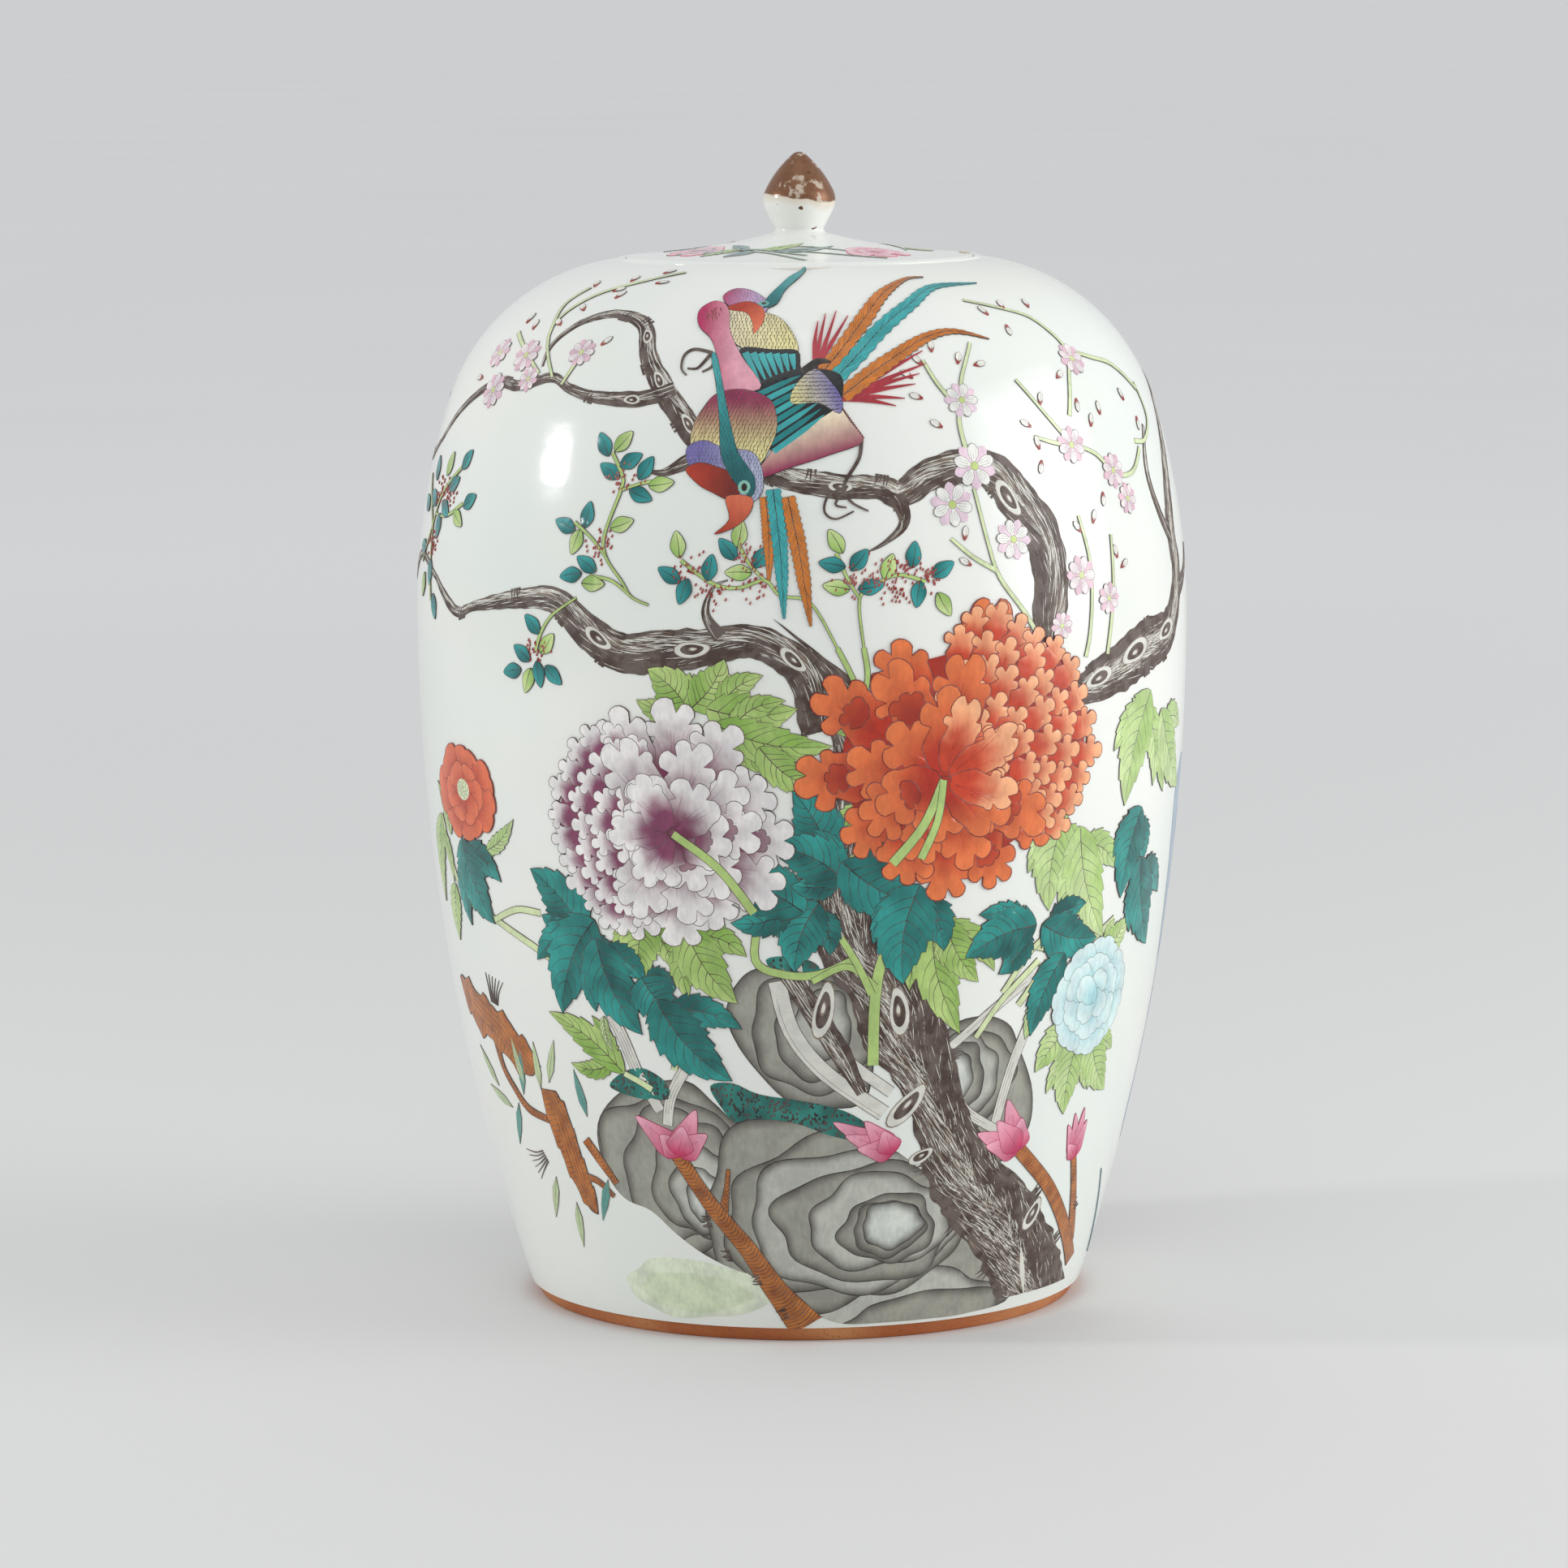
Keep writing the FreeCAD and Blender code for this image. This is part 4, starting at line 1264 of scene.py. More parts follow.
whiteLook = (srgb(240, 240, 234), srgb(232, 206, 220), srgb(196, 216, 130))
pinkLook = (srgb(240, 228, 230), srgb(226, 190, 204), srgb(206, 218, 150))
for name, blossoms, buds, twigs in (
        ("plum_blossom_middle",
         [((50, 243), 1.15, 0), ((42, 233), 1.1, 30), ((60, 223), 1.0, 60), ((49, 261), 0.9, 20)],
         [((34, 268), -50), ((36, 262), -70), ((38, 272), -30), ((43, 276), 10), ((51, 272), 20),
          ((57, 271), 80), ((45, 224), 10), ((46, 217), -60), ((41, 254), -60)],
         [[(58, 278), (51, 268), (49, 262), (47, 255), (48, 247)], [(39, 273), (42, 266), (48, 258)],
          [(49, 237), (52, 222), (55, 213), (62, 204), (66, 198)], [(41, 224), (47, 219), (54, 215)]]),
        ("plum_blossom_right",
         [((99, 271), 0.9, 10), ((86, 247), 0.95, 40), ((103, 239), 0.9, 0), ((108, 231), 0.8, 30),
          ((83, 212), 1.0, 20), ((94, 205), 0.8, 50), ((75, 199), 0.7, 10)],
         [((88, 266), 60), ((93, 259), 190), ((71, 253), -60), ((77, 259), 20), ((73, 243), 200),
          ((73, 247), -10), ((97, 252), 20), ((103, 255), 0), ((96, 233), 190), ((84, 224), -40),
          ((90, 226), 20), ((99, 216), -20), ((101, 213), 60), ((72, 288), -20), ((82, 290), 10),
          ((96, 290), 20), ((77, 283), 190), ((120, 258), -20), ((126, 252), 190)],
         [[(66, 294), (80, 290), (91, 286), (97, 279), (100, 274), (110, 271), (122, 268), (134, 260)],
          [(98, 272), (93, 265), (88, 255)],
          [(70, 266), (78, 256), (86, 248), (96, 244), (104, 238), (114, 238), (122, 244)],
          [(72, 250), (79, 248), (86, 247)], [(84, 228), (87, 214), (86, 198), (84, 190)],
          [(97, 222), (96, 206), (93, 190)],
          [(134, 262), (136, 252), (128, 246), (120, 246)]]),
        ("plum_blossom_left",
         [((-103, 273), 0.95, 20), ((-113, 262), 0.95, 0), ((-121, 273), 0.85, 40), ((-96, 266), 0.7, 60),
          ((-77, 275), 0.8, 15)],
         [((-100, 301), -30), ((-82, 305), 0), ((-79, 296), 20), ((-70, 311), 30), ((-90, 290), -50),
          ((-96, 284), -60), ((-84, 299), 60), ((-110, 282), -20), ((-125, 265), -90), ((-70, 278), 40),
          ((-66, 304), 70), ((-118, 284), 0)],
         [[(-85, 267), (-99, 283), (-92, 296), (-74, 305), (-59, 312)],
          [(-99, 283), (-104, 292), (-101, 300)],
          [(-92, 268), (-104, 274), (-118, 280)], [(-80, 265), (-78, 270), (-76, 276)]])):
    painting = Painting(name, jar, 3, grid=2.0)
    for twig in twigs:
        tube(painting, twig, 0.75, stalkPale, "grey", 1.2, 0.12)
    for place, heading in buds:
        bud(painting, place, heading)
    for place, size, turn in blossoms:
        blossom(painting, place, size, turn, whiteLook if name.endswith("middle") else pinkLook)
    painting.fire("jar")


def leaflet(painting, place, heading, size, look):
    spot = Spot(painting.surface, place[0], place[1], heading, size)
    outline = smooth([(0, -3.6), (-2.1, -1.2), (-1.9, 1.3), (0, 4.0), (1.9, 1.3), (2.1, -1.2)], True, 3)
    dark, light = look
    def tint(point):
        side, forward = spot.read(point)
        return blendColour(dark, light, 0.5 + 0.14 * forward + 0.2 * side)
    painting.drawn(spot.shape(outline), tint, "ink", 0.17)
    painting.stroke([spot.put(0, -3.4), spot.put(0.2, 0), spot.put(0, 3.2)], 0.28, 0.1, "ink", steps=3)


tealLeaf, greenLeaf = (srgb(4, 104, 104), srgb(50, 158, 158)), (srgb(150, 190, 96), srgb(200, 220, 150))
for name, stemPaths, teals, greens, berries in (
        ("sprig_left",
         [[(-42, 207), (-47, 209), (-50, 213), (-55, 219), (-56, 225), (-52, 237), (-52, 241), (-56, 247)],
          [(-55, 219), (-60, 224), (-66, 228)], [(-52, 237), (-46, 239), (-40, 240)],
          [(-47, 209), (-53, 213), (-60, 214)],
          [(-64, 208), (-72, 203), (-76, 198), (-78, 193)]],
         [(-59, 249, -30), (-50, 245, 60), (-56, 242, -60), (-45, 243, 30), (-46, 236, 110),
          (-69, 227, -70), (-62, 230, 10), (-61, 217, -60), (-66, 214, -100), (-79, 200, -50),
          (-83, 192, -60), (-87, 187, -100), (-77, 187, 170), (-72, 187, 130)],
         [(-53, 250, 40), (-40, 239, 80), (-65, 223, 200), (-51, 228, 70), (-59, 212, 90), (-74, 195, 40),
          (-81, 185, 200)],
         [(-51, 240), (-57, 222), (-78, 193)]),
        ("sprig_middle",
         [[(9, 196), (2, 208), (-6, 210), (-10, 214), (-17, 212), (-24, 213), (-33, 219)],
          [(-10, 214), (-14, 218), (-17, 223)],
          [(16, 196), (15, 209), (20, 213), (26, 215), (33, 213)], [(15, 209), (12, 214), (9, 221)]],
         [(-36, 215, -60), (-32, 211, 200), (-25, 217, 10), (-20, 222, -40), (-11, 220, 40), (8, 218, -80),
          (15, 219, 40), (18, 212, 80), (30, 220, 10), (38, 216, 60), (31, 210, 190)],
         [(-34, 223, -10), (-17, 226, 10), (-17, 216, -90), (9, 224, -30), (9, 212, -80), (23, 217, 20),
          (38, 207, 150)],
         [(-30, 216), (-24, 210), (-15, 220), (-13, 212), (14, 214), (24, 210), (28, 216), (34, 213),
          (20, 214)]),
        ("sprig_edge",
         [[(-146, 212), (-138, 222), (-132, 232), (-120, 240)], [(-136, 226), (-126, 226), (-116, 230)],
          [(-137, 223), (-136, 212), (-134, 202)], [(-150, 236), (-142, 228), (-137, 222)]],
         [(-142, 238, -20), (-118, 242, 40), (-124, 235, 60), (-112, 231, 60), (-132, 223, 190),
          (-136, 210, 180), (-146, 216, -90), (-128, 228, 120), (-140, 230, -60), (-131, 201, 160),
          (-148, 228, -60)],
         [(-130, 240, 20), (-118, 226, 120), (-143, 206, 200)], [(-126, 232), (-136, 218), (-134, 232)])):
    painting = Painting(name, jar, 3)
    for path in stemPaths:
        tube(painting, path, 0.5, stalkGreen, "sepia", 0.9, 0.13)
    for x, s, heading in teals:
        leaflet(painting, (x, s), heading, 0.98, tealLeaf)
    for x, s, heading in greens:
        leaflet(painting, (x, s), heading, 0.98, greenLeaf)
    for x, s in berries:
        for _ in range(30):
            place = Vector((x + paintbox.gauss(0, 2.6), s + paintbox.gauss(0, 1.9)))
            painting.stroke([place, place + Vector((0.3, 0.75))], 0.5, 0.25, "berry")
    painting.fire("jar")
print("sprigs and blossom ready")


# coral stems, bud sheaths and fungus

amber = {"dark": srgb(150, 78, 26), "light": srgb(206, 126, 52)}


def amberTint(point):
    return blendColour(amber["dark"], amber["light"],
                       0.5 + 0.7 * noise.noise(Vector((point.x * 0.3, point.y * 0.3, 5))))


def coral(painting, path, rungs=1.1):
    left, right = edgesOf(painting, path)
    outline = left + right[::-1]
    painting.inside(outline, "sepia")
    painting.lay(inset(outline, 0.2), amberTint)
    for i in range(1, len(left) - 1):
        bend = (left[min(i + 2, len(left) - 1)] - left[i]) * 0.6
        middle = left[i].lerp(right[i], 0.5) + bend
        painting.stroke([left[i], middle, right[i]], 0.22, 0.16, "sepia", steps=3)
        if paintbox.random() < rungs - 0.6:
            painting.stroke([left[i].lerp(right[i], 0.2) + bend, left[i].lerp(right[i], 0.75) + bend], 0.14,
                            0.1, "sepia")
    painting.open()


def sheath(painting, base, tips, width):  # a pink bud whose tips spread
    for tip in tips:
        spot, length = aimed(painting.surface, base, tip)
        outline = smooth([(0, -1), (-width * 0.5, length * 0.2), (-width * 0.32, length * 0.6), (0, length),
                          (width * 0.32, length * 0.6), (width * 0.5, length * 0.2)], True, 4)
        def tint(point, spot=spot, length=length):
            return blendColour(srgb(196, 48, 96), srgb(240, 176, 196), spot.read(point)[1] / length)
        painting.drawn(spot.shape(outline), tint, srgb(150, 30, 70), 0.16)
        painting.stroke([spot.put(0, length * 0.1), spot.put(0.3, length * 0.7)], 0.16, 0.06,
                        srgb(170, 40, 84))


corals = Painting("coral_stems", jar, 2)
coral(corals, [(-25, 52, 1.2), (-26, 46, 1.8), (-28, 38, 3)])
coral(corals, [(-42, 56, 4.5), (-36, 47, 4.5), (-30, 39, 5), (-20, 28, 5.5), (-11, 16, 7), (0, 4.6, 10)])
coral(corals, [(103, 48, 2.6), (107, 40, 2.8), (112, 30, 3.4), (117, 20, 4)])
coral(corals, [(72, 55, 4.2), (80, 49, 4.2), (91, 41, 4.4), (104, 30, 4.6), (122, 14, 5)])
for place, heading in (((-27, 26), -100), ((-17, 19), -110), ((-8, 9), -110), ((-33, 36), -100),
                       ((112, 32), 60)):
    thorns(corals, place, heading, 4, 2.2)
sheath(corals, (-41, 56), [(-55, 66), (-47, 61), (-34, 69), (-31, 62), (-39, 64)], 8)
sheath(corals, (27, 57), [(8, 66), (12, 62), (18, 66), (16, 58), (24, 63)], 7)
sheath(corals, (73, 54), [(56, 60), (60, 56), (66, 69), (73, 63), (63, 63)], 8)
sheath(corals, (103, 48), [(96, 58), (99, 61), (104, 62), (107, 58), (98, 52)], 5)
corals.stroke([(152, 12), (142, 24), (130, 40)], 1.2, 0.6, srgb(116, 140, 146))
corals.fire("jar")

fungus = Painting("lingzhi", jar, 2)
coral(fungus, [(-115, 83, 3), (-113, 74, 2.4), (-108, 68, 2.4), (-102, 63, 2.6), (-92, 61, 2.2)])
coral(fungus, [(-76, 57, 3), (-70, 50, 3), (-66, 45, 2.2)])
coral(fungus, [(-82, 46, 2.4), (-74, 45, 2.2), (-68, 41, 1.6)])
for leftEdge, rightEdge in (
        ([(-138, 96), (-134, 88), (-126, 82), (-116, 80), (-104, 74), (-96, 72)],
         [(-136, 98), (-128, 96), (-118, 93), (-108, 90), (-98, 84), (-91, 77)]),
        ([(-93, 70), (-92, 60), (-89, 52), (-86, 44), (-82, 38), (-79, 34)],
         [(-86, 71), (-82, 64), (-80, 56), (-78, 48), (-76, 40), (-77, 35)])):
    left, right = along(leftEdge, 26), along(rightEdge, 26)
    outline = [p.copy() for p in left + right[::-1]]
    for number, place in enumerate(outline):
        place.y += 1.1 * math.sin(number * 1.1) + 0.5 * math.sin(number * 2.3)
    fungus.inside(outline, "sepia")
    fungus.lay(inset(outline, 0.25), amberTint)
    for share in (0.3, 0.45, 0.6, 0.75):
        pairs = zip(left[::5], right[::5])
        ridge = [l.lerp(r, share + 0.1 * math.sin(i)) for i, (l, r) in enumerate(pairs)]
        fungus.stroke(ridge, 0.2, 0.2, "sepia")
    for i in range(26):
        fungus.stroke([left[i].lerp(right[i], 0.08), left[i].lerp(right[i], paintbox.uniform(0.3, 0.5))],
                      0.2, 0.1, "sepia")
        dot = left[i].lerp(right[i], paintbox.uniform(0.8, 0.95))
        fungus.stroke([dot, dot + Vector((0.2, 0.6))], 0.4, 0.2, "sepia")
    fungus.open()
for x, s, heading in ((-124, 72, -40), (-119, 64, -70), (-110, 58, 200), (-93, 76, 0), (-102, 73, 10),
                      (-86, 78, 20), (-75, 70, -10), (-97, 38, 200), (-87, 31, 185), (-72, 40, 200),
                      (-103, 76, -10)):
    spot = Spot(jar, x, s, heading, 1.25)
    fungus.drawn(spot.shape([(0, -5), (-1.1, -1.5), (-0.9, 2), (0, 6), (0.9, 2), (1.1, -1.5)]),
                 srgb(96, 160, 150) if x in (-75, -72, -110, -102) else srgb(190, 208, 160), "grey", 0.13)
    fungus.stroke([spot.put(0, -5), spot.put(0, 4)], 0.15, 0.08, "grey")
for base, heading in (((-111, 93), 10), ((-99, 49), -120)):
    spot = Spot(jar, base[0], base[1], heading)
    for number in range(6):
        side = (number - 2.5) * 1.1
        fungus.stroke([spot.put(side * 0.6, -1), spot.put(side, 3), spot.put(side * 1.7 + 0.6, 7)], 0.45,
                      0.06, "sepia")
fungus.fire("jar")
print("coral and fungus ready")


# the two birds

def feathered(painting, outline, tint, hair, spacing=1.0, heading=200, reach=1.6, width=0.24, closed=True):
    line = smooth(outline, closed, 4) if closed else [Vector(p) for p in outline]
    painting.inside(line, "ink")
    painting.lay(inset(line, 0.14), tint)
    if hair:
        left, right = min(p.x for p in line), max(p.x for p in line)
        low, high = min(p.y for p in line), max(p.y for p in line)
        rows, columns = int((high - low) / spacing) + 1, int((right - left) / spacing) + 1
        for row in range(rows):
            for column in range(columns):
                x = left + (column + 0.5 * (row % 2) + paintbox.uniform(-0.2, 0.2)) * spacing
                spot = Spot(painting.surface, x, low + row * spacing, heading + paintbox.uniform(-12, 12))
                painting.stroke([spot.put(-0.2, 0), spot.put(0.1, reach / 2), spot.put(0, reach)], width,
                                0.05, hair, steps=2)
    painting.open()


def fade(first, second, start, end):  # colour from the first at start to the second at end
    start, end = Vector(start), Vector(end)
    way = end - start
    return lambda point: blendColour(first, second,
                                     (Vector((point.x, point.y)) - start).dot(way) / way.length_squared)


def plume(painting, path, widths, colour, edge, count=90):  # a tail feather with a quill and a ragged edge
    path = [(place[0], place[1]) for place in path]
    middle = along(path, 40)
    sizes = np.interp(np.linspace(0, len(widths) - 1, 40), range(len(widths)), widths)
    sides = []
    for side in (1, -1):
        row = []
        for i in range(40):
            rag = 1 + (0.16 if i % 2 else -0.06)
            row.append(painting.aside(middle, i, side * sizes[i] / 2 * rag))
        sides.append(row)
    painting.drawn(sides[0] + sides[1][::-1], colour, edge, 0.13)
    painting.stroke(middle[::3] + [middle[-1]], 0.26, 0.08, "ink", steps=3)
    for _ in range(count):
        i = paintbox.randint(1, 33)
        side = paintbox.choice((-1, 1))
        far = painting.aside(middle, i + 3, side * sizes[i + 3] * 0.44)
        painting.stroke([middle[i], far], 0.13, 0.05, edge)


hue = {  # of the two birds
    "rose": srgb(178, 38, 92), "blush": srgb(226, 160, 176), "lilac": srgb(190, 160, 196),
    "violet": srgb(118, 110, 176),
    "straw": srgb(222, 214, 150), "aqua": srgb(58, 168, 170), "deep": srgb(6, 100, 104),
    "orange": srgb(206, 120, 40),
    "brick": srgb(176, 54, 30), "coral": srgb(222, 112, 78), "cream": srgb(238, 226, 196),
    "plum": srgb(150, 40, 84),
}
birds = Painting("two_birds", jar, 4, grid=1.1)
plume(birds, [(-10, 236), (-9, 225), (-9, 214)], (3.2, 3.4, 0.8), hue["orange"], "sepia", 20)
plume(birds, [(-4, 236), (-1, 222), (2, 202)], (3.6, 4.2, 3.4, 0.7), hue["orange"], "sepia", 50)
plume(birds, [(-8, 238), (-6, 222), (-5, 204)], (3.6, 4.0, 3.2, 0.7), hue["aqua"], hue["deep"], 50)
for tip in ((6, 287), (9, 290), (13, 291), (17, 289)):
    birds.stroke([(4, 270), ((4 + tip[0]) / 2 - 0.6, 279), tip], 0.9, 0.08, srgb(168, 44, 56), 1.1)
for tip in ((40, 276), (40, 272), (37, 269), (35, 266), (31, 262), (28, 260)):
    birds.stroke([(12, 262), ((12 + tip[0]) / 2, (262 + tip[1]) / 2 + 0.6), tip], 0.9, 0.08,
                 srgb(168, 44, 56), 1.2)
plume(birds, [(4, 267), (14, 278), (22, 287), (33, 298), (48, 306), (58, 307)],
      (3.6, 4.2, 4.4, 3.6, 1.8, 0.4), hue["orange"], "sepia")
plume(birds, [(12, 263), (26, 272), (42, 280), (54, 282), (66, 279)], (4.2, 4.4, 3.4, 2.0, 0.4),
      hue["orange"], "sepia")
plume(birds, [(7, 265), (18, 275), (28, 284), (42, 293), (58, 301), (82, 302)],
      (3.8, 4.4, 4.2, 3.4, 1.8, 0.3), hue["aqua"], hue["deep"])
birds.stroke([(17, 251), (16, 246), (12, 240), (11, 236)], 1.0, 0.9, "sepia")
for toes in ([(11, 238), (7, 236), (6, 232), (9, 230), (14, 232)], [(11, 237), (14, 234), (18, 232)],
             [(12, 238), (9, 234), (12, 233)]):
    birds.stroke(toes, 0.8, 0.4, "sepia")
feathered(birds, [(-13, 241), (-2, 244), (8, 247), (17.5, 250.5), (14, 256), (9, 262), (3, 258), (-6, 251)],
          fade(hue["plum"], hue["cream"], (5, 246), (2, 257)), None)
for i in range(16):
    edgePlace = Vector((10, 262)).lerp(Vector((17, 252)), i / 15)
    birds.stroke([edgePlace, edgePlace + Vector((0.9, -0.5))], 0.3, 0.06, "wine")
feathered(birds, [(-30, 290), (-20, 291), (-9, 289), (-3, 283), (-1, 276), (-8, 276), (-18, 277), (-24, 281)],
          fade(hue["cream"], hue["straw"], (-28, 292), (-8, 276)), "sepia", 1.25, 165, 1.5, 0.3)
wingBlack = [(-20, 277), (-9, 277), (-1, 276.5), (0, 271), (5, 272), (3, 267), (-3, 266), (-10, 263),
             (-14, 266)]
feathered(birds, wingBlack, srgb(26, 26, 30), None)
for i in range(7):
    start, end = Vector((-18, 276)).lerp(Vector((-3, 275.5)),
                                         i / 6), Vector((-12, 266)).lerp(Vector((-2, 270)), i / 6)
    birds.stroke([start, start.lerp(end, 0.5), end], 1.9, 0.1, hue["aqua"], 1.3)
feathered(birds, [(-15, 264), (-5, 270), (4, 271), (12, 269), (12, 262), (10, 259.5), (4, 256), (-4, 251.5),
                  (-10, 249)],
          srgb(24, 28, 32), None)
for i in range(8):
    start, end = Vector((-14, 263)).lerp(Vector((-8, 248)),
                                         i / 7), Vector((2, 270)).lerp(Vector((9, 259.5)), i / 7)
    birds.stroke([start, start.lerp(end, 0.5), start.lerp(end, 0.86)], 1.5, 0.1,
                 hue["aqua"] if i % 2 else srgb(20, 130, 132), 1.5)
feathered(birds, [(-2, 266), (4, 271), (9, 267), (12, 262), (11, 258), (5, 261), (-3, 261)],
          fade(hue["straw"], hue["violet"], (-2, 262), (10, 266)), "ink", 1.1, 60, 1.4, 0.28)
birds.stroke([(0, 270), (5, 273), (9, 273)], 1.6, 0.8, "ink", 2.2)
feathered(birds, [(-38, 291), (-34, 295), (-29, 294), (-26, 290), (-24, 283), (-19, 275), (-12, 266),
                  (-18, 264), (-24, 264), (-26, 272), (-30, 280), (-36, 285)],
                  fade(hue["rose"], hue["blush"], (-34, 280), (-22, 282)), None)
for i in range(40):
    spot = Spot(jar, -33 + paintbox.gauss(0, 1.6), 290 + paintbox.gauss(0, 1.8), 150)
    birds.stroke([spot.put(0, 0), spot.put(0.2, 1.6)], 0.2, 0.06, "wine")
feathered(birds, [(-31, 297), (-28, 301), (-22, 301), (-16, 298), (-12, 294), (-14, 289), (-20, 291),
                  (-26, 292)],
          fade(hue["rose"], hue["lilac"], (-31, 296), (-18, 295)), "slateInk", 1.2, 150, 1.2, 0.2)
feathered(birds, [(-27, 293), (-20, 295), (-14, 292), (-13, 287), (-16, 282), (-17, 286), (-20, 290),
                  (-26, 291)],
          fade(hue["brick"], hue["coral"], (-22, 292), (-15, 285)), None)
feathered(birds, [(-14, 292), (-13, 297), (-9, 303), (-5, 309), (0, 314), (2, 318), (3, 315), (0, 309),
                  (-6, 301), (-9, 294)],
          fade(hue["deep"], hue["aqua"], (-14, 292), (-4, 306)), "ink", 1.1, 20, 1.2, 0.16)
eyeSpot = Spot(jar, -14, 294, 0)
birds.lay(eyeSpot.shape([(1.5 * math.cos(t * 0.6), 1.2 * math.sin(t * 0.6)) for t in range(10)]),
          srgb(110, 180, 170))
birds.lay(eyeSpot.shape([(0.7 * math.cos(t * 0.8), 0.6 * math.sin(t * 0.8)) for t in range(8)]), "ink")
for claw in ([(-29, 276), (-35, 277), (-38, 275), (-38, 271), (-36, 269)],
             [(-29, 276), (-31, 273), (-33, 271), (-36, 271)],
             [(-29, 276), (-28, 272), (-31, 270)]):
    birds.stroke(claw, 0.9, 0.4, "sepia")
feathered(birds, [(-32, 254), (-29, 260), (-25, 264), (-17, 265), (-9, 262), (-7, 255), (-9, 249),
                  (-13, 244), (-22, 246), (-31, 248)],
          lambda point: blendColour(hue["straw"], hue["plum"], ease(247, 263, point.y)), "sepia", 1.15, 185,
          1.5, 0.26)
feathered(birds, [(-33, 249), (-28, 251), (-22, 249), (-14, 248), (-11, 243), (-11, 237), (-15, 234),
                  (-20, 236), (-26, 240), (-32, 244)],
          fade(hue["violet"], srgb(176, 184, 208), (-30, 248), (-14, 238)), "slateInk", 1.0, 170, 1.5, 0.24)
feathered(birds, [(-33, 243), (-29, 245), (-24, 244), (-19, 242), (-17, 237), (-20, 235), (-25, 237),
                  (-29, 239)],
          fade(hue["brick"], srgb(120, 34, 20), (-31, 242), (-20, 238)), None)
feathered(birds, [(-21, 236), (-14, 236), (-14, 232), (-18, 228), (-24, 226), (-20, 230)],
          fade(hue["coral"], hue["brick"], (-17, 236), (-22, 227)), None)
feathered(birds, [(-29, 275), (-26, 266), (-24, 256), (-23, 247), (-19, 240), (-14, 236), (-13, 241),
                  (-18, 248), (-21, 257),
                  (-24, 267), (-27, 275)], fade(hue["aqua"], hue["deep"], (-27, 272), (-17, 244)), "ink",
                  1.1, 160, 1.2, 0.16)
lowerEye = Spot(jar, -16, 238.5, 0)
birds.lay(lowerEye.shape([(1.7 * math.cos(t * 0.6), 1.9 * math.sin(t * 0.6)) for t in range(10)]),
          srgb(140, 200, 180))
birds.lay(lowerEye.shape([(0.8 * math.cos(t * 0.8), 1.1 * math.sin(t * 0.8)) for t in range(8)]), "ink")
birds.fire("jar")
print("birds ready")


# the far side, which continues the same garden

back = {"shift": 296, "lift": -4}


def moved(flower, name, look):  # a flower laid out as its mirror image on the far side
    def place(point):
        return (back["shift"] + 38 - point[0] * 0.98, point[1] + back["lift"])
    first, last = flower["scales"]
    made = dict(flower, heart=place(flower["heart"]), middle=place(flower["middle"]), ground=look["ground"],
                scales=(360 - last, 360 - first))
    for key in ("outer", "inner"):
        made[key] = dict(flower[key], **look[key])
    peony(name, made)


moved(redPeony, "far_peony", {
    "outer": {"base": srgb(186, 66, 110), "tip": srgb(240, 214, 220), "ink": "sepia", "line": 0.2,
              "hair": srgb(190, 80, 120)},
    "inner": {"base": srgb(196, 84, 124), "tip": srgb(244, 226, 228), "ink": "sepia", "line": 0.17,
              "hair": srgb(190, 80, 120)},
    "ground": srgb(188, 76, 116)})

farRock = Painting("far_rock", jar, 0, grid=2.2)
boulder(farRock, [(230, 9), (238, 26), (250, 40), (266, 52), (286, 58), (304, 50), (322, 56), (340, 44),
                  (352, 30), (372, 26), (392, 16), (404, 6), (370, 5), (330, 5.2), (290, 5), (254, 5)],
        [((262, 24), (26, 20), 0.5, "grey"), ((262, 26), (20, 15), 2.0, "light"),
         ((262, 27), (12, 10), 3.4, "grey"),
         ((262, 28), (6, 6), 1.0, "bright"), ((330, 20), (36, 24), 1.6, "grey"),
         ((328, 22), (28, 18), 3.0, "light"),
         ((326, 24), (20, 13), 4.6, "grey"), ((326, 25), (11, 8), 0.9, "bright"),
         ((376, 8), (22, 12), 2.4, "grey")])
farRock.fire("jar")
lake = Painting("blue_stone", jar, 0, grid=2.2)
lake.inside(smooth([(146, 146), (156, 156), (170, 150), (176, 132), (170, 118), (182, 104), (178, 84),
                    (166, 76), (172, 58), (162, 44), (152, 52), (156, 70), (158, 88), (152, 104),
                    (148, 124)], True, 4), srgb(146, 168, 186))
for step in range(12):
    ring = wobbly(jar, (164 + 3 * math.sin(step), 52 + step * 8.6), (8, 7), step * 1.3, 0.08)
    lake.lay(ring, srgb(88, 104, 128))
    lake.lay(inset(ring, 0.5), srgb(158, 182, 198) if step % 2 else srgb(132, 152, 176))
lake.open()
lake.fire("jar")

